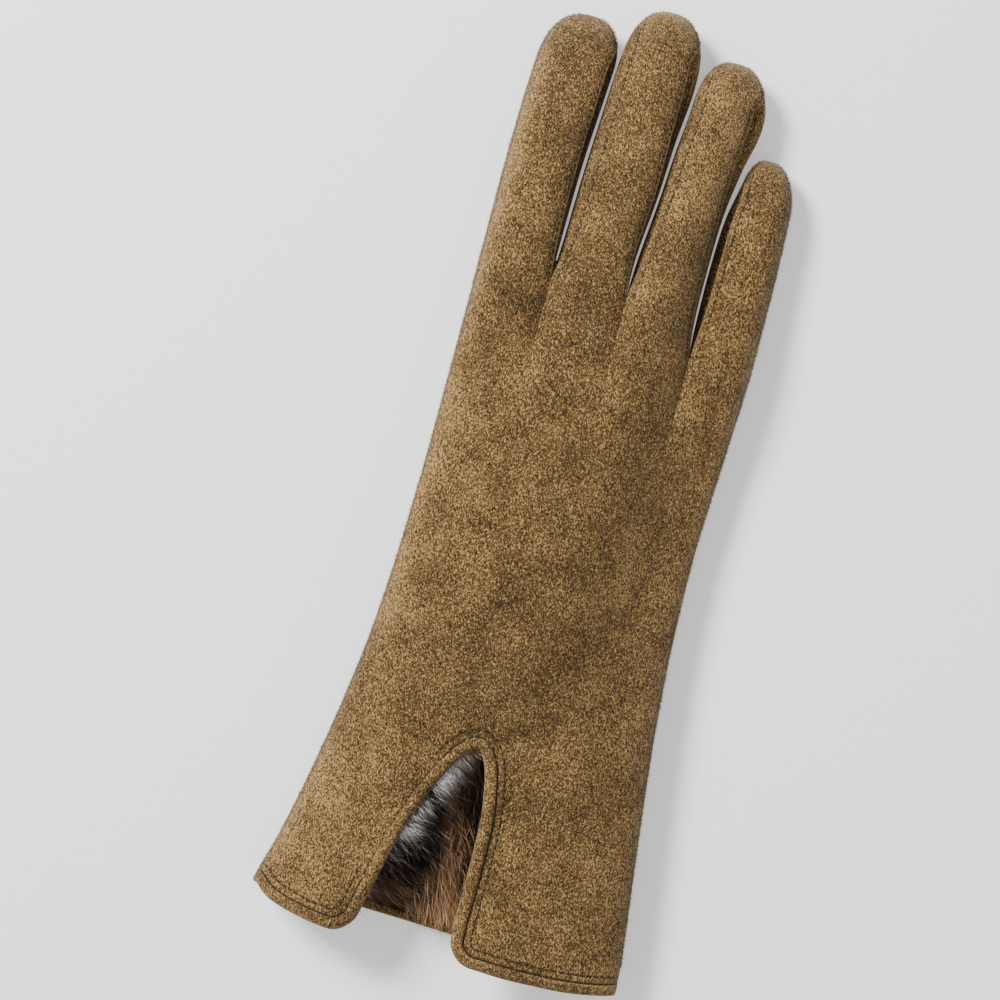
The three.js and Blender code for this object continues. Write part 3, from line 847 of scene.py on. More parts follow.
def new_group(
    name: str, kind: str, inputs: dict[str, str], outputs: dict[str, str]
) -> tuple[NodeSheet, dict[str, bpy.types.NodeSocket]]:
    """Starts a node group.

    Args:
        name: Its name.
        kind: The type of its tree.
        inputs: Each input's name and kind, such as Float.
        outputs: Each output's name and kind.

    Returns:
        The sheet of its nodes, and what it is given, by name.
    """
    tree = bpy.data.node_groups.new(name, kind)
    for way, sockets in (("INPUT", inputs), ("OUTPUT", outputs)):
        for socket, socket_kind in sockets.items():
            tree.interface.new_socket(name=socket, in_out=way, socket_type="NodeSocket" + socket_kind)
    sheet = NodeSheet(tree)
    given = sheet.add("NodeGroupInput")
    return sheet, {socket: given.outputs[socket] for socket in inputs}


class ShadeGroups:
    """The shader node groups that more than one material uses."""

    def __init__(self) -> None:
        """Builds each group once."""
        self.nap = self._nap()
        self.groove = self._groove()

    def _nap(self) -> bpy.types.NodeTree:
        """Napped suede: flecks of three tones in slanting strokes, over a soft mottle.

        Returns:
            The group.
        """
        inputs = dict.fromkeys(("Grain", "Contrast", "Mottle", "Tone"), "Float")
        inputs.update(dict.fromkeys(("Dark", "Middle", "Light"), "Color"))
        outputs = {"Color": "Color", "Height": "Float", "Roughness": "Float"}
        sheet, given = new_group("suede_nap", "ShaderNodeTree", inputs, outputs)
        place = sheet.add("ShaderNodeTexCoord").outputs["Object"]
        slant = {"Vector": place, "Rotation": (0, 0, 0.75), "Scale": (1, 0.62, 1)}
        strokes = sheet.add("ShaderNodeMapping", slant)
        wide = sheet.sum("MULTIPLY", given["Grain"], 0.42)
        noises = (
            {"Vector": strokes, "Scale": given["Grain"], "Detail": 2.5, "Roughness": 0.5},
            {"Vector": strokes, "Scale": wide, "Detail": 2.0},
            {"Vector": place, "Scale": 75.0, "Detail": 4.0, "Roughness": 0.6},
        )
        flecks, clumps, mottle = (sheet.exit(sheet.add("ShaderNodeTexNoise", noise)) for noise in noises)
        mixed = sheet.sum("MULTIPLY_ADD", clumps, 0.22, sheet.sum("MULTIPLY", flecks, 0.78))
        sharp = sheet.sum("MULTIPLY", sheet.sum("SUBTRACT", mixed, 0.5), given["Contrast"])
        broad = sheet.sum("MULTIPLY", sheet.sum("SUBTRACT", mottle, 0.5), given["Mottle"])
        tone = sheet.sum("ADD", sheet.sum("ADD", sharp, broad), given["Tone"])
        value = sheet.sum("ADD", tone, 0.5)
        lower = sheet.blend(sheet.ease(value, -0.05, 0.5), given["Dark"], given["Middle"])
        colour = sheet.blend(sheet.ease(value, 0.5, 1.05), lower, given["Light"])
        height = sheet.ease(value, 0.0, 1.0)
        rough = sheet.ease(value, 0.0, 1.0, 0.98, 0.86)
        sheet.add("NodeGroupOutput", {"Color": colour, "Height": height, "Roughness": rough})
        return sheet.tree

    def _groove(self) -> bpy.types.NodeTree:
        """A line drawn at a distance from an edge: 1 on the line and 0 away from it.

        Returns:
            The group.
        """
        inputs = dict.fromkeys(("Distance", "Line", "Width"), "Float")
        sheet, given = new_group("sewn_groove", "ShaderNodeTree", inputs, {"Groove": "Float"})
        away = sheet.sum("ABSOLUTE", sheet.sum("SUBTRACT", given["Distance"], given["Line"]))
        share = sheet.sum("DIVIDE", away, given["Width"])
        sheet.add("NodeGroupOutput", {"Groove": sheet.ease(share, 0.0, 1.0, 1.0, 0.0)})
        return sheet.tree


@dataclass(frozen=True)
class SuedeFinish:
    """A napped suede: its three tones, the size of its flecks and how strong they are."""

    name: str
    dark: Colour
    middle: Colour
    light: Colour
    grain: float = 2900.0
    contrast: float = 4.3
    mottle: float = 0.8
    sheen: float = 0.22
    toned: bool = False
    marked: bool = False
    # Each sewn groove, darkened as painted shade: what it lies beside, its distance, its width and how dark
    # it is.
    lines: tuple[tuple[str, float, float, float], ...] = (
        ("hem", 0.7, 0.9, 0.8), ("hem", 3.0, 0.6, 0.4), ("seam", 1.75, 0.5, 0.35),
    )
    line_depth: float = 2.2

    def build(self, groups: ShadeGroups) -> bpy.types.Material:
        """Makes the material.

        Args:
            groups: The shared node groups.

        Returns:
            The material.
        """
        material, sheet = new_material(self.name)
        # The tone attribute holds patches of tone and painted light and shade on the back, and painted shade
        # on the strips.
        tone = sheet.mark("tone") if self.marked or self.toned else 0.0
        values = {"Grain": self.grain, "Contrast": self.contrast, "Mottle": self.mottle, "Tone": tone}
        tones = {"Dark": (*self.dark, 1), "Middle": (*self.middle, 1), "Light": (*self.light, 1)}
        nap = sheet.add("ShaderNodeGroup", node_tree=groups.nap)
        for name, value in {**values, **tones}.items():
            sheet.put(nap.inputs[name], value)
        colour = nap.outputs["Color"]
        height = nap.outputs["Height"]
        if self.marked:
            # Painted shade in the sewn grooves, which are also pressed into the bump.
            shade = self.drawn(sheet, groups)
            colour = sheet.blend(shade, colour, (*(0.3 * part for part in self.dark), 1))
            # Lighter close to the finger seams.
            lighter_by_seam = sheet.ease(sheet.mark("seam"), 0.0, 0.9, 0.45, 0.0)
            colour = sheet.blend(lighter_by_seam, colour, (*self.light, 1))
            height = sheet.sum("SUBTRACT", height, sheet.sum("MULTIPLY", shade, self.line_depth))
        bump = sheet.add("ShaderNodeBump", {"Height": height, "Strength": 0.55, "Distance": 0.00035})
        look = {"Base Color": colour, "Roughness": nap.outputs["Roughness"], "Normal": bump}
        look.update({"Specular IOR Level": 0.12, "Sheen Weight": self.sheen, "Sheen Roughness": 0.45})
        sheet.surface({**look, "Sheen Tint": (1.0, 0.86, 0.66, 1.0)})
        return material

    def drawn(self, sheet: NodeSheet, groups: ShadeGroups) -> bpy.types.NodeSocket:
        """Painted shade in the sewn grooves beside the hem and the seams.

        Args:
            sheet: The material's nodes.
            groups: The shared node groups.

        Returns:
            How dark the lines are.
        """
        total = 0.0
        for beside, line, width, share in self.lines:
            values = {"Distance": sheet.mark(beside), "Line": line, "Width": width}
            groove = sheet.add("ShaderNodeGroup", node_tree=groups.groove)
            for name, value in values.items():
                sheet.put(groove.inputs[name], value)
            total = sheet.sum("MULTIPLY_ADD", groove.outputs[0], share, total)
        return total


@dataclass(frozen=True)
class FurFinish:
    """Fur of mixed hairs: charcoal, brown and tan at their roots, silver at the tips of some."""

    name: str = "fur_hair"
    charcoal: Colour = (0.009, 0.007, 0.006)
    brown: Colour = (0.35, 0.175, 0.07)
    tan: Colour = (0.85, 0.54, 0.27)
    silver: Colour = (0.95, 0.92, 0.88)

    def build(self) -> bpy.types.Material:
        """Makes the material, which reads each hair's own attributes.

        Returns:
            The material.
        """
        material, sheet = new_material(self.name)
        along, shade, brown, silver = (sheet.mark(name) for name in ("along", "shade", "brown", "silver"))
        warm = sheet.blend(sheet.ease(shade, 0.45, 0.95), (*self.brown, 1), (*self.tan, 1))
        is_warm = sheet.ease(sheet.sum("SUBTRACT", brown, shade), -0.25, 0.1)
        root = sheet.blend(is_warm, (*self.charcoal, 1), warm)
        tipped = sheet.ease(sheet.sum("SUBTRACT", silver, shade), -0.12, 0.12)
        early = sheet.ease(silver, 0.6, 1.0, 0.0, 0.6)
        tip = sheet.sum("MULTIPLY", sheet.ease(sheet.sum("ADD", along, early), 0.35, 0.8), tipped)
        colour = sheet.blend(tip, root, (*self.silver, 1))
        sheet.surface({"Base Color": colour, "Roughness": 0.5, "Specular IOR Level": 0.35})
        return material


@dataclass(frozen=True)
class ThreadFinish:
    """Twisted sewing thread."""

    name: str
    colour: Colour

    def build(self) -> bpy.types.Material:
        """Makes the material, with the thread's twist in colour and relief.

        Returns:
            The material.
        """
        material, sheet = new_material(self.name)
        place = sheet.add("ShaderNodeTexCoord").outputs["Object"]
        twist = sheet.add("ShaderNodeTexNoise", {"Vector": place, "Scale": 2600.0, "Detail": 1.0})
        shade = sheet.ease(sheet.exit(twist), 0.3, 0.7)
        colour = sheet.blend(shade, (*(part * 0.45 for part in self.colour), 1), (*self.colour, 1))
        bump = sheet.add("ShaderNodeBump", {"Height": shade, "Strength": 0.4, "Distance": 0.0001})
        sheet.surface({"Base Color": colour, "Roughness": 0.7, "Normal": bump, "Specular IOR Level": 0.25})
        return material


class Finishes:
    """The glove's materials."""

    def __init__(self) -> None:
        """Builds the shared groups and every material once."""
        groups = ShadeGroups()
        tones = (0.024, 0.014, 0.006), (0.108, 0.062, 0.021), (0.36, 0.222, 0.082)
        raw = (0.16, 0.09, 0.04), (0.42, 0.27, 0.14), (0.6, 0.43, 0.26)
        # The facing's tones are darker than the outer suede: painted shade for the inside of the cuff.
        shaded_facing = (0.012, 0.008, 0.005), (0.05, 0.032, 0.018), (0.12, 0.08, 0.045)
        skin = (0.008, 0.006, 0.005), (0.03, 0.022, 0.016), (0.07, 0.05, 0.035)
        self.suede = SuedeFinish("suede_marked", *tones, marked=True).build(groups)
        self.strip = SuedeFinish("suede_strip", *tones, toned=True).build(groups)
        self.raw = SuedeFinish("raw_edge", *raw).build(groups)
        self.facing = SuedeFinish("facing_nap", *shaded_facing).build(groups)
        self.backing = SuedeFinish("fur_skin", *skin).build(groups)
        self.fur = FurFinish().build()
        self.nap_hair = FurFinish("nap_hair", *tones, (0.42, 0.27, 0.12)).build()
        self.thread = ThreadFinish("brown_thread", (0.022, 0.013, 0.007)).build()


class GrowthTrees:
    """The Geometry Nodes trees: rows of stitches along a path, and hairs over a surface."""

    def __init__(self) -> None:
        """Builds both trees."""
        self.stitches = self._stitches()
        self.hairs = self._hairs()

    def _stitches(self) -> bpy.types.NodeTree:
        """A stitch at every step along a path of edges, lying on the surface beneath it.

        Returns:
            The tree.
        """
        inputs = {"Path": "Geometry", "Pitch": "Float", "Length": "Float", "Width": "Float"}
        inputs.update({"Seed": "Int", "Thread": "Material"})
        sheet, given = new_group("stitch_row", "GeometryNodeTree", inputs, {"Stitches": "Geometry"})
        curve = sheet.add("GeometryNodeMeshToCurve", {"Mesh": given["Path"]})
        even = sheet.add("GeometryNodeResampleCurve", mode="LENGTH")
        sheet.put(even.inputs["Curve"], curve)
        sheet.put(even.inputs["Length"], given["Pitch"])
        bead = sheet.add("GeometryNodeMeshUVSphere", {"Segments": 6, "Rings": 6, "Radius": 0.5})
        thick = sheet.sum("MULTIPLY", given["Width"], 0.7)
        size = sheet.add("ShaderNodeCombineXYZ", {0: given["Length"], 1: given["Width"], 2: thick})
        shaped = sheet.add("GeometryNodeTransform", {"Geometry": bead.outputs["Mesh"], "Scale": size})
        tangent = sheet.add("GeometryNodeInputTangent")
        facing = sheet.carried("facing", "FLOAT_VECTOR")
        lie = sheet.add("FunctionNodeAlignRotationToVector", {"Vector": tangent}, axis="X")
        flat = {"Rotation": lie, "Vector": facing}
        flat = sheet.add("FunctionNodeAlignRotationToVector", flat, axis="Z", pivot_axis="X")
        slant = sheet.chance("FLOAT_VECTOR", (-0.03, -0.05, -0.13), (0.03, 0.05, 0.13), given["Seed"])
        scale = sheet.chance("FLOAT", 0.85, 1.12, given["Seed"])
        placed = {"Points": even, "Instance": shaped, "Rotation": sheet.turned(flat, slant), "Scale": scale}
        laid = sheet.add("GeometryNodeInstanceOnPoints", placed)
        real = sheet.add("GeometryNodeRealizeInstances", {"Geometry": laid})
        sheet.add("NodeGroupOutput", {"Stitches": sheet.finished(real, given["Thread"])})
        return sheet.tree

    def _hairs(self) -> bpy.types.NodeTree:
        """Bent, pointed hairs over a surface, each laid along the surface's comb direction.

        Returns:
            The tree.
        """
        sizes = ("Density", "Length", "Width", "Rise", "Spread", "Waviness")
        inputs = {"Surface": "Geometry", **dict.fromkeys(sizes, "Float"), "Seed": "Int", "Hair": "Material"}
        sheet, given = new_group("combed_hairs", "GeometryNodeTree", inputs, {"Hairs": "Geometry"})
        thick = sheet.exit(sheet.carried("thick", "FLOAT"))
        density = sheet.sum("MULTIPLY", given["Density"], thick)
        scattered = {"Mesh": given["Surface"], "Density": density, "Seed": given["Seed"]}
        roots = sheet.add("GeometryNodeDistributePointsOnFaces", scattered)
        up = sheet.add("FunctionNodeAlignRotationToVector", {"Vector": roots.outputs["Normal"]}, axis="Z")
        combed = {"Rotation": up, "Vector": sheet.carried("comb", "FLOAT_VECTOR")}
        combed = sheet.add("FunctionNodeAlignRotationToVector", combed, axis="X", pivot_axis="Z")
        spread = sheet.add("ShaderNodeCombineXYZ", {0: 0.35, 1: 0.22, 2: given["Spread"]})
        stray = sheet.chance("FLOAT_VECTOR", sheet.scaled(spread, -1.0), spread, given["Seed"])
        scale = sheet.chance("FLOAT", 0.6, 1.2, given["Seed"])
        placed = {"Points": roots.outputs["Points"], "Instance": self._strand(sheet, given)}
        placed.update({"Rotation": sheet.turned(combed, stray), "Scale": scale})
        grown = sheet.add("GeometryNodeInstanceOnPoints", placed)
        shade = sheet.chance("FLOAT", 0.0, 1.0, sheet.sum("ADD", given["Seed"], 7))
        shaded = sheet.stored(grown, "shade", "INSTANCE", shade)
        real = sheet.add("GeometryNodeRealizeInstances", {"Geometry": shaded})
        waved = {"Geometry": real, "Offset": self._waves(sheet, given)}
        moved = sheet.add("GeometryNodeSetPosition", waved)
        sheet.add("NodeGroupOutput", {"Hairs": sheet.finished(moved, given["Hair"])})
        return sheet.tree

    def _strand(self, sheet: NodeSheet, given: dict[str, bpy.types.NodeSocket]) -> bpy.types.Node:
        """One pointed hair that rises and then leans along X, with its share of length stored.

        Args:
            sheet: The tree's nodes.
            given: What the tree is given.

        Returns:
            The hair's mesh.
        """
        length = given["Length"]
        rise = sheet.sum("MULTIPLY", length, given["Rise"])
        bend = sheet.add("ShaderNodeCombineXYZ", {0: sheet.sum("MULTIPLY", length, 0.28), 2: rise})
        reach = sheet.sum("MULTIPLY", length, 0.86)
        end = sheet.add("ShaderNodeCombineXYZ", {0: reach, 2: sheet.sum("MULTIPLY", rise, 0.9)})
        bent = {"Resolution": 3, "Start": (0, 0, 0), "Middle": bend, "End": end}
        spine = sheet.add("GeometryNodeCurveQuadraticBezier", bent)
        share = sheet.add("GeometryNodeSplineParameter").outputs["Factor"]
        marked = sheet.stored(spine, "along", "POINT", share)
        tapered = sheet.sum("SUBTRACT", 1.0, sheet.sum("POWER", share, 2.2))
        radius = sheet.sum("MULTIPLY", sheet.sum("MULTIPLY", given["Width"], 0.5), tapered)
        ring = sheet.add("GeometryNodeCurvePrimitiveCircle", {"Resolution": 3, "Radius": 1.0})
        swept = {"Curve": marked, "Profile Curve": ring, "Scale": radius, "Fill Caps": True}
        body = sheet.add("GeometryNodeCurveToMesh", swept)
        return sheet.add("GeometryNodeMergeByDistance", {"Geometry": body, "Distance": 0.000002})

    def _waves(self, sheet: NodeSheet, given: dict[str, bpy.types.NodeSocket]) -> bpy.types.NodeSocket:
        """How far each point of the hairs strays, more towards their tips, so that they part in locks.

        Args:
            sheet: The tree's nodes.
            given: What the tree is given.

        Returns:
            The way that each point moves.
        """
        place = sheet.add("GeometryNodeInputPosition")
        noise = sheet.add("ShaderNodeTexNoise", {"Vector": place, "Scale": 190.0, "Detail": 2.0})
        swing = {0: noise.outputs["Color"], 1: (0.5, 0.5, 0.5)}
        centred = sheet.add("ShaderNodeVectorMath", swing, operation="SUBTRACT")
        along = sheet.exit(sheet.carried("along", "FLOAT"))
        return sheet.scaled(centred.outputs[0], sheet.sum("MULTIPLY", along, given["Waviness"]))


def grow(
    name: str, base: bpy.types.Object, tree: bpy.types.NodeTree, inputs: dict[str, object]
) -> bpy.types.Object:
    """Runs a Geometry Nodes tree on an object and keeps the result as a plain mesh.

    Args:
        name: The new object's name.
        base: The object that the tree starts from, which is deleted.
        tree: The tree.
        inputs: Values for its named inputs.

    Returns:
        The new object.
    """
    modifier = base.modifiers.new("growth", "NODES")
    modifier.node_group = tree
    keys = {item.name: item.identifier for item in tree.interface.items_tree if item.in_out == "INPUT"}
    for key, value in inputs.items():
        modifier[keys[key]] = value
    evaluated = base.evaluated_get(bpy.context.evaluated_depsgraph_get())
    mesh = bpy.data.meshes.new_from_object(evaluated)
    mesh.name = name
    piece = bpy.data.objects.new(name, mesh)
    bpy.context.scene.collection.objects.link(piece)
    bpy.data.objects.remove(base, do_unlink=True)
    return piece


def settle(piece: bpy.types.Object, nodes: tuple[str, ...] = ()) -> None:
    """Says what body a piece rides on and the nodes that it stands for.

    Args:
        piece: The finished piece.
        nodes: The nodes of the frame that it replaces.
    """
    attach(piece, "root")
    if nodes:
        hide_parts(*nodes)
    log.info("%s: %d triangles", piece.name, sum(len(face.vertices) - 2 for face in piece.data.polygons))


@dataclass
class Trank:
    """The back and palm of the hand and fingers, one folded piece of suede."""

    back_columns: int = 24
    palm_columns: int = 16
    # How many fingers' worth of the back's columns each piece of the cuff has.
    left_lanes: float = 1.5
    right_lanes: float = 2.5
    cuff_step: float = 1.5
    hem_rows: tuple[float, ...] = (0, 0.008, 0.02, 0.035, 0.05)
    hand_step: float = 1.5
    finger_step: float = 1.4
    blend_end: float = 100.0
    hole_from: float = 102.0
    hole_to: float = 148.0
    hole_share: float = 0.345
    tip_rows: tuple[float, ...] = (11.2, 9.8, 8.6, 7.4, 6.2, 5.1, 4.1, 3.2, 2.4, 1.7, 1.1, 0.6, 0.25, 0)
    hem_reach: float = 75.0
    seams_from: float = 172.0
    far: float = 9.0

    def cuff_rows(self) -> np.ndarray:
        """Shares of the cuff's height, closer together at the hem."""
        return np.concatenate([self.hem_rows, np.linspace(0.075, 1, round(SLIT_TOP / self.cuff_step))])

    def cuff_patches(self, rows: np.ndarray) -> list[Patch]:
        """The two flaps and the palm of the cuff.

        Args:
            rows: Shares of the cuff's height.

        Returns:
            Three patches.
        """
        counts = {
            CuffPiece.LEFT: round(self.back_columns * self.left_lanes),
            CuffPiece.RIGHT: round(self.back_columns * self.right_lanes),
            CuffPiece.PALM: self.palm_columns * len(FINGERS),
        }
        patches = []
        for piece, count in counts.items():
            points = FORM.cuff(piece, np.linspace(0, 1, count + 1)[None, :], rows[:, None])
            palm = piece is CuffPiece.PALM
            back = np.full(points.shape[:2], 0.0 if palm else 1.0)
            patches.append(Patch(points, palm, marks={"back": back}))
        return patches

    def finger_rows(self, finger: Finger) -> np.ndarray:
        """Places up a finger from the highest crotch, closer together at its tip."""
        even = steps(HIGHEST_CROTCH, finger.tip - self.tip_rows[0], step=self.finger_step)
        return np.concatenate([even, finger.tip - np.array(self.tip_rows[1:])])

    def lane_points(self, lane: int, rows: np.ndarray, face: Face) -> np.ndarray:
        """Points of one finger's share of a face, whose first rows ease out of the cuff's columns.

        Args:
            lane: The finger's number.
            rows: Places along the glove, from the slit's top or above it.
            face: Back or palm.

        Returns:
            The points, as rows, columns and x, y, z.
        """
        count = self.back_columns if face is Face.BACK else self.palm_columns
        share = np.linspace(0, 1, count + 1)[None, :]
        y = rows[:, None] + 0 * share
        left, right = FORM.edges(lane, y)
        x = left + (right - left) * crowd_both(share)
        column = lane + share[0]
        if face is Face.PALM:
            top = FORM.cuff(CuffPiece.PALM, column / len(FINGERS), 1.0)
        else:
            over = FORM.cuff(CuffPiece.LEFT, np.minimum(column / self.left_lanes, 1), 1.0)
            past_share = np.clip((column - self.left_lanes) / self.right_lanes, 0, 1)
            past = FORM.cuff(CuffPiece.RIGHT, past_share, 1.0)
            top = np.where((column <= self.left_lanes)[:, None], over, past)
        low = HAND_LEFT.at(SLIT_TOP)
        across = (top[:, 0] - low) / (HAND_RIGHT.at(SLIT_TOP) - low)
        carried = between(HAND_LEFT.at(y), HAND_RIGHT.at(y), across[None, :])
        x = between(carried, x, smooth(y, SLIT_TOP, self.blend_end))
        return np.stack([x, y, FORM.height(lane, x, y, face)], axis=-1)

    def lane_patches(self, lane: int, rows: np.ndarray, hole: bool = False) -> list[Patch]:
        """One finger's share of the back and of the palm, with marks on its seams.

        Args:
            lane: The finger's number.
            rows: Places along the glove.
            hole: Whether the palm has the thumb's hole here.

        Returns:
            Two patches.
        """
        finger = FINGERS[lane]
        patches = []
        for face in Face:
            points = self.lane_points(lane, rows, face)
            sewn = np.zeros(points.shape[:2])
            in_tip = rows > finger.tip - self.tip_rows[0]
            for side, column in ((Side.LEFT, 0), (Side.RIGHT, -1)):
                sewn[(rows > finger.crotch(side)) & ((finger.outer is not side) | in_tip), column] = 1
            skip = None
            if hole and face is Face.PALM:
                columns = crowd_both(np.linspace(0, 1, points.shape[1]))[:-1] >= self.hole_share
                within = (rows[:-1] >= self.hole_from) & (rows[:-1] < self.hole_to)
                skip = within[:, None] & columns[None, :]
            back = np.full(points.shape[:2], 1.0 if face is Face.BACK else 0.0)
            patches.append(Patch(points, face is Face.PALM, skip, {"back": back, "sewn": sewn}))
        return patches

    def shape(self) -> Skin:
        """The whole skin.

        Returns:
            The skin, with its distances from the cuff's edge and the finger seams, and its tone.
        """
        keys = (SLIT_TOP, self.hole_from, self.hole_to, 177.0, HIGHEST_CROTCH)
        hand = steps(*keys, step=self.hand_step)
        patches = self.cuff_patches(self.cuff_rows())
        for lane, finger in enumerate(FINGERS):
            rows = np.concatenate([hand, self.finger_rows(finger)[1:]])
            patches += self.lane_patches(lane, rows, hole=lane == 0)
        skin = weld(patches)
        x, y = skin.points[:, 0], skin.points[:, 1]
        ends = {a for a, _ in skin.rims()}
        hem_points = skin.points[[number for number in ends if y[number] < SLIT_TOP + 1]]
        seam_points = skin.points[skin.marks.pop("sewn") > 0.5]
        back = skin.marks.pop("back")
        by_slit = ridge(x, SLIT[CuffPiece.LEFT].at(y) - 2, 4) * band(y, (12, 18), (50, 56))
        skin.marks["hem"] = self.distance(skin, hem_points, y < self.hem_reach) + 2.2 * by_slit * back
        skin.marks["seam"] = self.distance(skin, seam_points, y > self.seams_from)
        # The back's tone: the table's patches of tone and painted light and shade, and a slight tone that
        # follows the surface's waves.
        back_tone_and_painted_light = sum(tone_blot.at(x, y) for tone_blot in TONE_PATCHES_AND_PAINTED_LIGHT)
        skin.marks["tone"] = back_tone_and_painted_light * back + 0.02 * FORM.wander(x, y, Face.BACK)
        return skin

    def distance(self, skin: Skin, edge: np.ndarray, measured: np.ndarray) -> np.ndarray:
        """How far each point of a skin is from the points of an edge.

        Args:
            skin: The skin.
            edge: Points of the edge.
            measured: Which of the skin's points are measured; the others are far.

        Returns:
            The distances in mm, none more than far.
        """
        tree = plant(edge)
        away = np.full(len(skin.points), self.far)
        for number in np.flatnonzero(measured):
            away[number] = min(self.far, tree.find(skin.points[number])[2])
        return away

    def build(self, finishes: Finishes) -> Skin:
        """Makes the piece.

        Args:
            finishes: The glove's materials.

        Returns:
            The trank's skin, which other pieces are fitted to.
        """
        skin = self.shape()
        piece = make_wall("suede_trank", skin, (0, SUEDE), (finishes.suede, finishes.raw))
        settle(piece, ("trank",))
        return skin


@dataclass
class Fourchettes:
    """The forked strips between the fingers, from tip to crotch to tip."""

    names: tuple[str, ...] = ("index_middle", "middle_ring", "ring_little")
    drop: float = SUEDE + 0.2
    wall: float = 1.1
    end_wall: float = 0.12
    end: float = 6.4
    narrows: float = 7.0
    narrow_rows: int = 14
    lip: float = 2.2
    tuck: float = 0.6
    step: float = 1.4
    columns: int = 12
    # Painted shade on the strips: dark on each finger's right side, away from the light from the left, fading
    # towards the tip, and a little darker on the left sides.
    left_painted_shade: float = -0.05
    right_painted_shade: float = -0.42
    shade_fades: tuple[tuple[float, float], ...] = ((2, 14), (16, 44), (22, 52))

    def stations(self, lane: int) -> list[tuple[int, Side, float]]:
        """The strip's places: down the side of one finger and up the side of the next.

        Args:
            lane: The strip's number.

        Returns:
            Each place's finger, side and y.
        """
        listed = []
        for which, side in ((lane, Side.RIGHT), (lane + 1, Side.LEFT)):
            finger = FINGERS[which]
            last = finger.tip - self.end
            rows = steps(finger.crotch(side), last - self.narrows, step=self.step)
            rows = np.concatenate([rows, np.linspace(last - self.narrows, last, self.narrow_rows + 1)[1:]])
            placed = [(which, side, float(y)) for y in rows]
            listed += placed[::-1] if side is Side.RIGHT else placed[1:]
        return listed

    def shape(self, lane: int) -> Skin:
        """One strip's skin.

        Args:
            lane: The strip's number.

        Returns:
            The skin, with its tone of painted shade and the thickness of its wall.
        """
        down = np.linspace(0, 1, self.columns + 1)
        rows, shades, walls = [], [], []
        for which, side, y in self.stations(lane):
            seam = FORM.edge(which, side, y)
            edge = FORM.edge(which, side, y, False)
            top = FORM.height(which, seam, y, Face.BACK) - self.drop
            bottom = FORM.height(which, seam, y, Face.PALM) + self.drop
            to_tip = FINGERS[which].tip - y
            closing = np.clip((self.end + self.narrows - to_tip) / self.narrows, 0, 0.99)
            lip = self.lip * arch(closing, 2.0) if closing > 0 else 0.0
            middle, half = (top + bottom) / 2, (top - bottom) / 2
            inwards = 1 if side is Side.LEFT else -1
            tucked = inwards * self.tuck * smooth(lip - half, -0.5, 0.5)
            half = max(half, lip)
            x = between(seam + tucked, edge, np.sqrt(4 * down * (1 - down)))
            z = between(middle + half, middle - half, down)
            rows.append(np.stack([x, np.full_like(x, y), z], axis=-1))
            walls.append(self.wall * between(1.0, self.end_wall, smooth(closing, 0.2, 0.8)))
            # Painted shade: strong on the right sides, fading towards the tip.
            faded = self.right_painted_shade * smooth(to_tip, *self.shade_fades[lane])
            shades.append(faded if side is Side.RIGHT else self.left_painted_shade)
        across = np.ones(self.columns + 1)
        marks = {"tone": np.outer(shades, across), "wall": np.outer(walls, across)}
        return weld([Patch(np.array(rows), turned=True, marks=marks)])

    def build(self, finishes: Finishes) -> None:
        """Makes the three strips.

        Args:
            finishes: The glove's materials.
        """
        for lane, name in enumerate(self.names):
            skin = self.shape(lane)
            depths = (0, skin.marks.pop("wall"))
            dress = (finishes.strip, finishes.raw)
            piece = make_wall("suede_fourchette_" + name, skin, depths, dress, level=True)
            settle(piece, ("fourchette_" + name,))


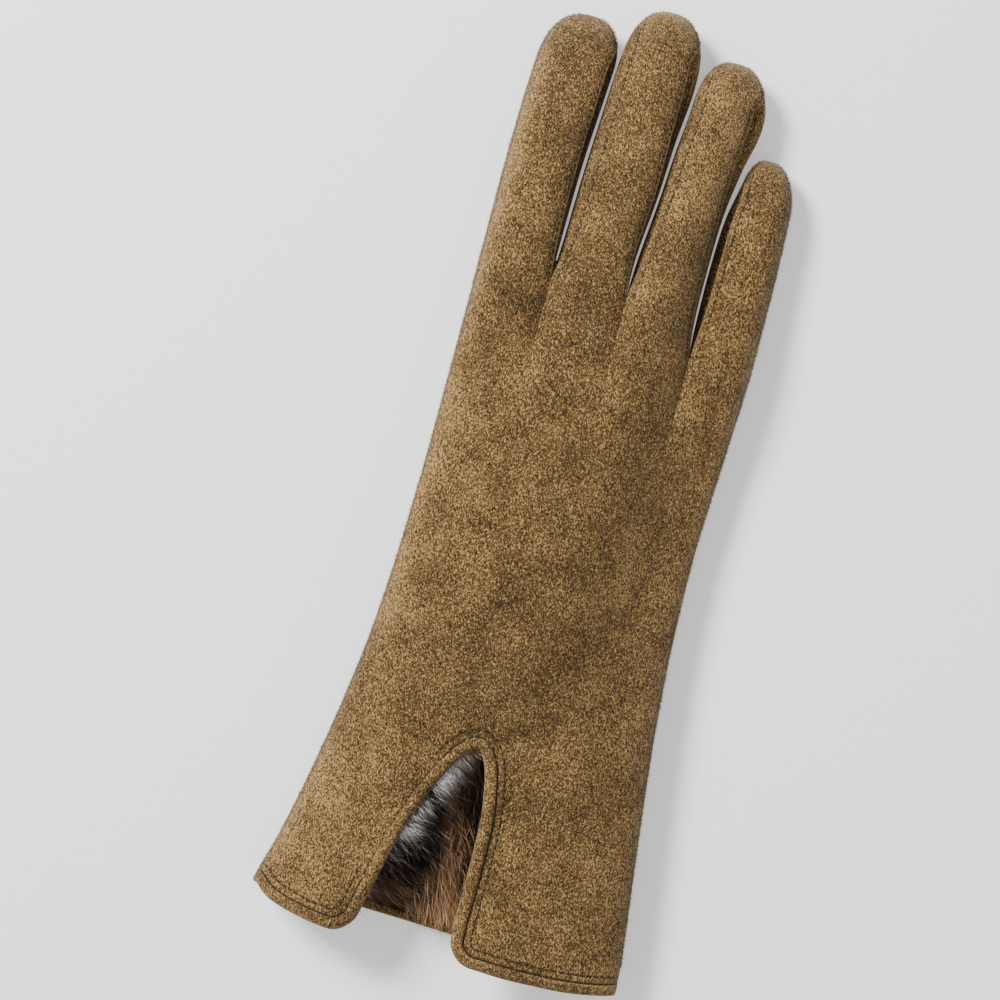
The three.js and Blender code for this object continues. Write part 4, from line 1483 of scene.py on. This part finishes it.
@dataclass
class Thumb:
    """The thumb, folded flat beneath the palm and open into it."""

    tip: float = 195.0
    cap: float = 12.0
    rim: float = 60.0
    boxy: float = 0.35
    fullness: float = 1.3
    under_columns: int = 44
    over_columns: int = 20
    crotch: float = 152.0
    tube_step: float = 1.8
    base_step: float = 1.7
    tip_rows: tuple[float, ...] = (6.6, 5.3, 4.1, 3.1, 2.2, 1.4, 0.8, 0.3, 0)
    stations: tuple[float, ...] = (95, 98, 102, 109, 125, 152, 168, 182, 195)
    middle: tuple[float, ...] = (-27, -27, -27, -27.2, -27.2, -26.4, -24.6, -22.6, -21)
    half: tuple[float, ...] = (7.4, 9.8, 11, 11.5, 11.6, 11.3, 10.8, 10.2, 9.8)
    low: tuple[float, ...] = (0.62, 0.32, 0.1, 0, 0, 0, 0, 0, 0.04)

    def squared(self, wave: np.ndarray) -> np.ndarray:
        """A round section's sine or cosine, made squarer."""
        return np.sign(wave) * np.abs(wave) ** self.boxy

    def points(self, degrees: np.ndarray, y: np.ndarray) -> np.ndarray:
        """Points round the thumb's section.

        Args:
            degrees: Places round it, with 0 on top, beneath the palm.
            y: Places along the glove.

        Returns:
            The points, as rows, columns and x, y, z.
        """
        degrees, y = np.broadcast_arrays(degrees, y)
        closing = arch(np.clip((y - self.tip + self.cap) / self.cap, 0, 1), FORM.cap_roundness)
        x = Track(self.stations, self.middle).at(y)
        high = FORM.bed(x, y) - GAP
        low = high * np.maximum(Track(self.stations, self.low).at(y), 0)
        angle = np.radians(degrees)
        across = self.squared(np.sin(angle)) * Track(self.stations, self.half).at(y)
        up = np.clip(self.squared(np.cos(angle)) * self.fullness, -1, 1)
        z = (low + high) / 2 + up * closing * (high - low) / 2
        return np.stack([x + across * closing, y, z], axis=-1)

    def shape(self) -> Skin:
        """The thumb's skin.

        Returns:
            A trough up to the thumb's crotch and a tube from there.
        """
        tube = steps(self.crotch, 183, 187, step=self.tube_step)
        tube = np.concatenate([tube, self.tip - np.array(self.tip_rows)])
        base = steps(95, 98, 102, 109, self.crotch, step=self.base_step)[:-1]
        around = np.linspace(self.rim, 360 - self.rim, self.under_columns + 1)[None, :]
        over = np.linspace(-self.rim, self.rim, self.over_columns + 1)[None, :]
        under_rows = np.concatenate([base, tube])[:, None]
        return weld([Patch(self.points(around, under_rows)), Patch(self.points(over, tube[:, None]))])

    def build(self, finishes: Finishes) -> None:
        """Makes the thumb in the glove's own materials."""
        piece = make_wall("suede_thumb", self.shape(), (0, SUEDE), (finishes.strip, finishes.raw))
        settle(piece, ("thumb",))


@dataclass
class Cuff:
    """What edges and lines the cuff: the turned edge, the facing, and the fur's backing."""

    # The turned edge's section, each point as how far out from the edge and how far over the suede.
    section: tuple[tuple[float, float], ...] = (
        (-0.7, 0.1), (-0.72, 0.45), (-0.4, 0.78), (0.2, 0.98), (0.9, 1.0), (1.55, 0.78), (2.1, 0.35),
        (2.45, -0.2), (2.6, -0.85), (2.45, -1.4), (2.0, -1.85), (1.3, -2.0), (0.3, -1.95), (0.2, -1.5),
        (0.2, 0.1),
    )
    over_suede: float = 0.12
    least_over: float = 0.1
    edge_step: float = 0.8
    lowest: float = -0.02
    tucked: float = 0.15
    facing_top: float = 0.085
    lining_from: float = 0.1
    lining_end: float = 68.0
    wall: tuple[float, float] = (SUEDE + LINING_GAP, SUEDE + LINING_GAP + BACKING)

    def edge_loop(self) -> np.ndarray:
        """The edge of the cuff and of the slit.

        Returns:
            Points round it, from the left fold and back to it.
        """
        flat = np.linspace(0, 1, 90)
        tall = np.linspace(0, 1, 110)
        parts = [
            FORM.cuff(CuffPiece.LEFT, flat, 0.0),
            FORM.cuff(CuffPiece.LEFT, 1.0, tall),
            FORM.cuff(CuffPiece.RIGHT, 0.0, tall[::-1]),
            FORM.cuff(CuffPiece.RIGHT, flat, 0.0),
            FORM.cuff(CuffPiece.PALM, flat[::-1], 0.0),
        ]
        line = np.vstack(parts)
        gaps = np.linalg.norm(np.roll(line, -1, axis=0) - line, axis=1)
        line = line[gaps > 0.02]
        closed = np.vstack([line, line[:1]])
        lengths = np.concatenate([[0], np.cumsum(np.linalg.norm(np.diff(closed, axis=0), axis=1))])
        even = np.linspace(0, lengths[-1], round(lengths[-1] / self.edge_step) + 1)[:-1]
        return np.stack([np.interp(even, lengths, closed[:, axis]) for axis in range(3)], axis=-1)

    def build_binding(self, trank: Skin, finishes: Finishes) -> np.ndarray:
        """Makes the turned edge.

        Args:
            trank: The trank's skin, whose edge it closes over.
            finishes: The glove's materials.

        Returns:
            The loop of points that it follows.
        """
        loop = self.edge_loop()
        tree = plant(trank.points)
        facing = trank.normals[[tree.find(point)[1] for point in loop]]
        for _ in range(3):
            facing = (np.roll(facing, 1, axis=0) + facing * 2 + np.roll(facing, -1, axis=0)) / 4
        along = np.roll(loop, -1, axis=0) - np.roll(loop, 1, axis=0)
        along /= np.linalg.norm(along, axis=1, keepdims=True)
        outward = np.cross(along, facing)
        outward /= np.linalg.norm(outward, axis=1, keepdims=True)
        face = np.cross(outward, along)
        rings = []
        for out, up in self.section:
            shows = up > self.over_suede
            raised = np.maximum(up * np.clip(face[:, 2:], 0, 1), self.least_over) if shows else up
            ring = loop + outward * out + face * raised
            ring[:, 2] = np.maximum(ring[:, 2], self.lowest if shows else self.tucked)
            rings.append(ring)
        count, sides = len(loop), len(rings)
        points = np.stack(rings, axis=1).reshape(-1, 3)
        faces = []
        beside = [(n, (n + 1) % sides) for n in range(sides)]
        for k in range(count):
            here, ahead = k * sides, (k + 1) % count * sides
            faces += [(here + a, here + b, ahead + b, ahead + a) for a, b in beside]
        piece = make_mesh("suede_binding", points, faces, {"seam": np.full(count * sides, 9.0)}, sharp=70)
        piece.data.materials.append(finishes.strip)
        settle(piece, ("cuff_binding",))
        return loop

    def build_facing(self, trank: Trank, finishes: Finishes) -> None:
        """Makes the suede turned in behind the edge, in darker tones that paint the shade inside the cuff.

        Args:
            trank: The trank, whose cuff it lines.
            finishes: The glove's materials.
        """
        skin = weld(trank.cuff_patches(np.linspace(0.01, self.facing_top, 6)))
        piece = make_wall("suede_facing", skin, self.wall, (finishes.facing, finishes.facing))
        settle(piece, ("cuff_facing",))

    def build_lining(self, trank: Trank, finishes: Finishes) -> Skin:
        """Makes the fur's backing, up to a little above the slit.

        Args:
            trank: The trank, whose cuff it lines.
            finishes: The glove's materials.

        Returns:
            The backing's skin.
        """
        patches = trank.cuff_patches(np.linspace(self.lining_from, 1, 36))
        rows = steps(SLIT_TOP, self.lining_end, step=1.8)
        for lane in range(len(FINGERS)):
            patches += trank.lane_patches(lane, rows)
        skin = weld(patches)
        piece = make_wall("fur_backing", skin, self.wall, (finishes.backing, finishes.backing))
        settle(piece, ("fur_lining",))
        return skin


@dataclass(frozen=True)
class Pile:
    """One growth of hairs: their size and how they lie, and how thick they stand in each place."""

    name: str
    density: float
    length: float
    width: float
    rise: float
    spread: float
    waviness: float
    seed: int
    in_slit: float = 0.0
    elsewhere: float = 0.0
    on_lip: float = 0.0

    def grow_on(
        self, base: bpy.types.Object, tree: bpy.types.NodeTree, hair: bpy.types.Material
    ) -> bpy.types.Object:
        """Grows the hairs on a base mesh.

        Args:
            base: The mesh, which carries thick and comb, and the hairs' tones.
            tree: The tree of the hairs.
            hair: Their finish.

        Returns:
            The hairs.
        """
        inputs = {
            "Density": self.density / (MM * MM),
            "Length": self.length * MM,
            "Width": self.width * MM,
            "Rise": self.rise,
            "Spread": self.spread,
            "Waviness": self.waviness * MM,
            "Seed": self.seed,
            "Hair": hair,
        }
        return grow(self.name, base, tree, inputs)


@dataclass
class Fur:
    """The fur inside the cuff, which shows through the slit."""

    piles: tuple[Pile, ...] = (
        Pile("fur_under", 4.4, 9.5, 0.16, 0.5, 0.5, 3.0, 11, in_slit=1.0),
        Pile("fur_over", 3.6, 12.5, 0.15, 0.72, 0.42, 4.0, 23, in_slit=1.0),
        Pile("fur_round", 1.2, 7.0, 0.2, 0.42, 0.5, 2.4, 37, elsewhere=1.0),
        Pile("fur_lip", 15.0, 11.0, 0.15, -0.1, 0.4, 3.6, 41, on_lip=1.0),
    )
    depth: float = SUEDE + LINING_GAP + BACKING

    def zones(self, skin: Skin, pile: Pile) -> dict[str, np.ndarray]:
        """The marks that the hairs read: how thick they stand, which way they lie, and their tones.

        Args:
            skin: The lining's skin.
            pile: The growth.

        Returns:
            Marks at each point of the skin.
        """
        x, y = skin.points[:, 0], skin.points[:, 1]
        on_back = skin.marks["back"] > 0.5
        slit = SLIT[CuffPiece.LEFT].at(y)
        # Where the palm's fur shows through the slit, and the back's fur just behind the slit's left edge.
        shown = band(x, (-38, -33), (10, 15)) * (1 - smooth(y, 64, 68))
        shown = shown * between(smooth(x, -9, -4), 1.0, smooth(y, 11, 15))
        lip = ridge(x, slit - 3, 4) * smooth(y, 14, 30)
        border = ridge(x, slit - 2.5, 2.2) * band(y, (24, 34), (58, 61))
        inside = 1 - smooth(np.abs(FORM.hand_share(x, y)), 0.8, 0.9)
        thick = pile.in_slit * np.where(on_back, 0.4 * lip, shown)
        thick = thick + pile.elsewhere * inside * (1 - np.where(on_back, 0, shown))
        thick = thick + pile.on_lip * np.where(on_back & (x < slit + 0.5), border, 0)
        # Which way the hairs lie: across on the left, and towards the hem on the right.
        heading = np.radians(between(-24, -76, smooth(x, -15, -8))) + 0.3 * np.sin(x / 3.1 + y / 7.0)
        heading = np.where(on_back & (lip > 0.2), math.radians(-32) + 0.25 * np.sin(y / 2.3), heading)
        # A white tuft by the slit's top, a golden streak down the right and a brown fan at the hem.
        tuft = ridge(x, (y - 54) * 0.27 - 15.4, 1.3) * band(y, (44, 48), (61, 64))
        golden = ridge(x, (48 - y) * 0.09 - 8.2, 3.2) * band(y, (6, 12), (60, 66))
        fan = smooth(x, -11, -6) * (1 - smooth(y, 14, 22))
        brown = 0.12 + 0.95 * golden + 0.7 * fan + 0.25 * (1 - smooth(y, 12, 22))
        streak = 0.5 + 0.5 * np.sin(y * 0.62 + 1.3 * np.sin(x / 4.0))
        silver = 0.55 * (1 - smooth(x, -14, -10)) * streak**3 * smooth(y, 20, 28) + 1.6 * tuft
        locks = 0.16 + 0.5 * ridge(y, 35, 3.0) + 0.45 * ridge(y, 51, 1.6)
        silver = silver + np.where(on_back, lip * locks, 0) + 0.35 * smooth(x, -4, 2) * (1 - smooth(y, 8, 16))
        return {
            "thick": np.clip(thick, 0, 1),
            "comb": np.stack([np.cos(heading), np.sin(heading), np.zeros_like(heading)], axis=-1),
            "brown": np.clip(brown, 0, 1),
            "silver": np.clip(silver, 0, 1),
        }

    def build(self, skin: Skin, trees: GrowthTrees, finishes: Finishes) -> None:
        """Grows the hairs out of the lining's inner surface.

        Args:
            skin: The lining's skin.
            trees: The growth trees.
            finishes: The glove's materials.
        """
        points = skin.points - skin.normals * self.depth
        faces = [tuple(reversed(face)) for face in skin.faces]
        for pile in self.piles:
            base = make_mesh(pile.name + "_roots", points, faces, self.zones(skin, pile))
            settle(pile.grow_on(base, trees.hairs, finishes.fur))


@dataclass
class EdgeNap:
    """The short nap that stands out over the edges of the suede."""

    pile: Pile = Pile("edge_nap", 6.0, 0.8, 0.1, 0.55, 0.8, 0.8, 61)
    insets: tuple[float, ...] = (0.8, 0.4, 0.05)
    step: float = 1.0
    outer_start: float = 9.0
    brown: float = 0.6
    silver: float = 0.2

    def ribbon(self, lane: int, side: Side) -> tuple[np.ndarray, np.ndarray]:
        """A narrow strip of the back along a finger's edge, and the way that its nap lies.

        Args:
            lane: The finger's number.
            side: Which edge.

        Returns:
            The points as rows and columns, and the nap's direction at each.
        """
        finger = FINGERS[lane]
        start = self.outer_start if finger.outer is side else finger.crotch(side) + 1
        y = steps(start, finger.tip - 0.4, step=self.step)[:, None]
        outwards = -1 if side is Side.LEFT else 1
        x = FORM.edge(lane, side, y) - outwards * np.array([self.insets])
        y = y + 0 * x
        turned = smooth(y, finger.tip - finger.cap, finger.tip) * math.pi / 2
        comb = np.stack([outwards * np.cos(turned), np.sin(turned), -0.2 + 0 * x], axis=-1)
        points = np.stack([x, y, FORM.height(lane, x, y, Face.BACK)], axis=-1)
        return (points[:, ::-1], comb[:, ::-1]) if side is Side.LEFT else (points, comb)

    def build(self, trees: GrowthTrees, finishes: Finishes) -> None:
        """Grows the nap along every edge of the back.

        Args:
            trees: The growth trees.
            finishes: The glove's materials.
        """
        points, combs, faces = [], [], []
        for lane in range(len(FINGERS)):
            for side in (Side.LEFT, Side.RIGHT):
                strip, comb = self.ribbon(lane, side)
                faces += grid_faces(*strip.shape[:2], sum(len(part) for part in points))
                points.append(strip.reshape(-1, 3))
                combs.append(comb.reshape(-1, 3))
        whole = np.vstack(points)
        even = np.ones(len(whole))
        marks = {"comb": np.vstack(combs), "thick": even}
        marks.update({"brown": self.brown * even, "silver": self.silver * even})
        base = make_mesh("edge_nap_roots", whole, faces, marks)
        settle(self.pile.grow_on(base, trees.hairs, finishes.nap_hair))


@dataclass
class Stitching:
    """The sewn rows: beside the cuff's edge and beside the finger seams."""

    pitch: float = 2.0
    length: float = 1.45
    width: float = 0.46
    hem_lines: tuple[float, ...] = (0.95, 3.0)
    seam_insets: tuple[float, float] = (1.7, 0.9)
    short_of_tip: dict[Face, float] = field(default_factory=lambda: {Face.BACK: 6.0, Face.PALM: 10.0})
    lift: dict[Face, float] = field(default_factory=lambda: {Face.BACK: 0.02, Face.PALM: -0.12})
    plain_from: float = 17
    plain_to: float = 52
    plain_side: float = -6
    longest_gap: float = 4
    seed: int = 5

    def surface(self, lane: int, x: np.ndarray, y: np.ndarray, face: Face) -> tuple[np.ndarray, np.ndarray]:
        """Points on a face just over the suede.

        Args:
            lane: The finger whose share of the face this is.
            x: Places across the glove.
            y: Places along it.
            face: Back or palm.

        Returns:
            The points, and the way that the face looks at each.
        """
        step = 0.2
        z = FORM.height(lane, x, y, face)
        dx = (FORM.height(lane, x + step, y, face) - FORM.height(lane, x - step, y, face)) / (2 * step)
        dy = (FORM.height(lane, x, y + step, face) - FORM.height(lane, x, y - step, face)) / (2 * step)
        normal = np.stack([-dx, -dy, np.ones_like(dx)], axis=-1)
        normal /= np.linalg.norm(normal, axis=-1, keepdims=True)
        normal = normal if face is Face.BACK else -normal
        return np.stack([x, y, z], axis=-1) + normal * self.lift[face], normal

    def hem_rows(self, loop: np.ndarray) -> list[tuple[np.ndarray, np.ndarray]]:
        """The rows beside the cuff's edge, on the back with the slit and on the palm.

        Args:
            loop: Points round the cuff's edge.

        Returns:
            Each row's points, and the way that the face looks at each.
        """
        away = {face: np.abs(loop[:, 2] - FORM.height(1, *loop[:, :2].T, face)) for face in Face}
        on_back = away[Face.BACK] <= away[Face.PALM]
        along = np.roll(loop, -1, axis=0) - np.roll(loop, 1, axis=0)
        flat = np.stack([along[:, 1], -along[:, 0]], axis=-1)
        flat /= np.maximum(np.linalg.norm(flat, axis=1, keepdims=True), 1e-6)
        rows = []
        for line in self.hem_lines:
            for face, chosen, way in ((Face.BACK, on_back, 1.0), (Face.PALM, ~on_back, -1.0)):
                x, y = (loop[chosen, :2] - way * flat[chosen] * line).T
                inside = (x > HAND_LEFT.at(y) + 1.5) & (x < HAND_RIGHT.at(y) - 1.5)
                inside &= (y < self.plain_from) | (y > self.plain_to) | (x > self.plain_side)
                rows.append(self.surface(1, x[inside], y[inside], face))
        return rows

    def seam_rows(self) -> list[tuple[np.ndarray, np.ndarray]]:
        """The rows up the seams of each finger, on the back and on the palm.

        Returns:
            Each row's points, and the way that the face looks at each.
        """
        rows = []
        for lane, finger in enumerate(FINGERS):
            for side in (Side.LEFT, Side.RIGHT):
                if finger.outer is side:
                    continue
                inset = self.seam_insets[0] if side is Side.LEFT else -self.seam_insets[1]
                for face, short in self.short_of_tip.items():
                    y = np.arange(finger.crotch(side) + 1.5, finger.tip - short, 0.5)
                    rows.append(self.surface(lane, FORM.edge(lane, side, y) + inset, y, face))
        return rows

    def build(self, loop: np.ndarray, trees: GrowthTrees, finishes: Finishes) -> None:
        """Sews the rows.

        Args:
            loop: Points round the cuff's edge.
            trees: The growth trees.
            finishes: The glove's materials.
        """
        inputs = {"Pitch": self.pitch * MM, "Length": self.length * MM, "Width": self.width * MM}
        inputs.update({"Seed": self.seed, "Thread": finishes.thread})
        for name, rows in (("hem_stitches", self.hem_rows(loop)), ("seam_stitches", self.seam_rows())):
            points, facing = (np.vstack(part) for part in zip(*rows))
            edges = []
            start = 0
            for row, _ in rows:
                near = np.linalg.norm(np.diff(row, axis=0), axis=1) < self.longest_gap
                edges += [(start + k, start + k + 1) for k in np.flatnonzero(near)]
                start += len(row)
            base = make_mesh(name + "_path", points, [], {"facing": facing})
            base.data.edges.add(len(edges))
            base.data.edges.foreach_set("vertices", np.array(edges, dtype=np.int32).ravel())
            settle(grow(name, base, trees.stitches, inputs))


@dataclass
class Studio:
    """The plain pale floor, the soft lights and the camera over the glove."""

    view_width: float = 0.280
    view_height: float = 0.9
    sensor: float = 36.0
    turn: float = 15.5
    middle: tuple[float, float] = (-0.01478, -0.00863)
    level: float = 0.009
    air: tuple[float, float, float, float] = (0.95, 0.97, 1.0, 1.0)
    air_strength: float = 0.5
    floor_half: float = 1.5
    floor_z: float = -0.0002
    floor_grey: float = 0.86
    floor_glow: float = 0.4

    def build(self) -> None:
        """Makes the studio."""
        self.floor()
        self.light("key", (-0.85, 0.5, 0.98), 0.4, 38.0)
        self.light("fill", (0.5, -0.4, 1.2), 1.2, 3.0)
        world = bpy.data.worlds.new("studio_air")
        world.use_nodes = True
        background = world.node_tree.nodes["Background"].inputs
        background["Color"].default_value = self.air
        background["Strength"].default_value = self.air_strength
        bpy.context.scene.world = world
        lens = bpy.data.cameras.new("over_the_glove")
        lens.sensor_width = self.sensor
        lens.lens = self.sensor * (self.view_height - self.level) / self.view_width
        camera = bpy.data.objects.new("over_the_glove", lens)
        camera.location = (*self.middle, self.view_height)
        camera.rotation_euler = (0, 0, math.radians(self.turn))
        bpy.context.scene.collection.objects.link(camera)
        bpy.context.scene.camera = camera

    def floor(self) -> None:
        """Makes the floor just under the glove."""
        half = self.floor_half
        mesh = bpy.data.meshes.new("pale_floor")
        corners = [(x * half, y * half, self.floor_z) for x, y in ((-1, -1), (1, -1), (1, 1), (-1, 1))]
        mesh.from_pydata(corners, [], [(0, 1, 2, 3)])
        material, sheet = new_material("pale_paint")
        look = {"Base Color": (*[self.floor_grey] * 3, 1), "Roughness": 0.9}
        sheet.surface({**look, "Emission Color": (1, 1, 1, 1), "Emission Strength": self.floor_glow})
        mesh.materials.append(material)
        floor = bpy.data.objects.new("pale_floor", mesh)
        bpy.context.scene.collection.objects.link(floor)

    def light(self, name: str, place: tuple[float, float, float], size: float, power: float) -> None:
        """Makes a soft square light that looks at the glove.

        Args:
            name: The light's name.
            place: Where it hangs, in metres.
            size: Its side, in metres.
            power: How strong it is, in watts.
        """
        lamp = bpy.data.lights.new(name, "AREA")
        lamp.size = size
        lamp.energy = power
        piece = bpy.data.objects.new(name, lamp)
        piece.location = place
        piece.rotation_euler = Vector(place).to_track_quat("Z", "Y").to_euler()
        bpy.context.scene.collection.objects.link(piece)


def main() -> None:
    """Builds the glove piece by piece, and its studio."""
    logging.basicConfig(level=logging.INFO, format="%(message)s")
    log.info("frame of %d nodes", len(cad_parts))
    finishes = Finishes()
    trees = GrowthTrees()
    trank = Trank()
    skin = trank.build(finishes)
    Fourchettes().build(finishes)
    Thumb().build(finishes)
    cuff = Cuff()
    loop = cuff.build_binding(skin, finishes)
    cuff.build_facing(trank, finishes)
    lining = cuff.build_lining(trank, finishes)
    Fur().build(lining, trees, finishes)
    Stitching().build(loop, trees, finishes)
    EdgeNap().build(trees, finishes)
    Studio().build()


if __name__ == "__main__":
    main()
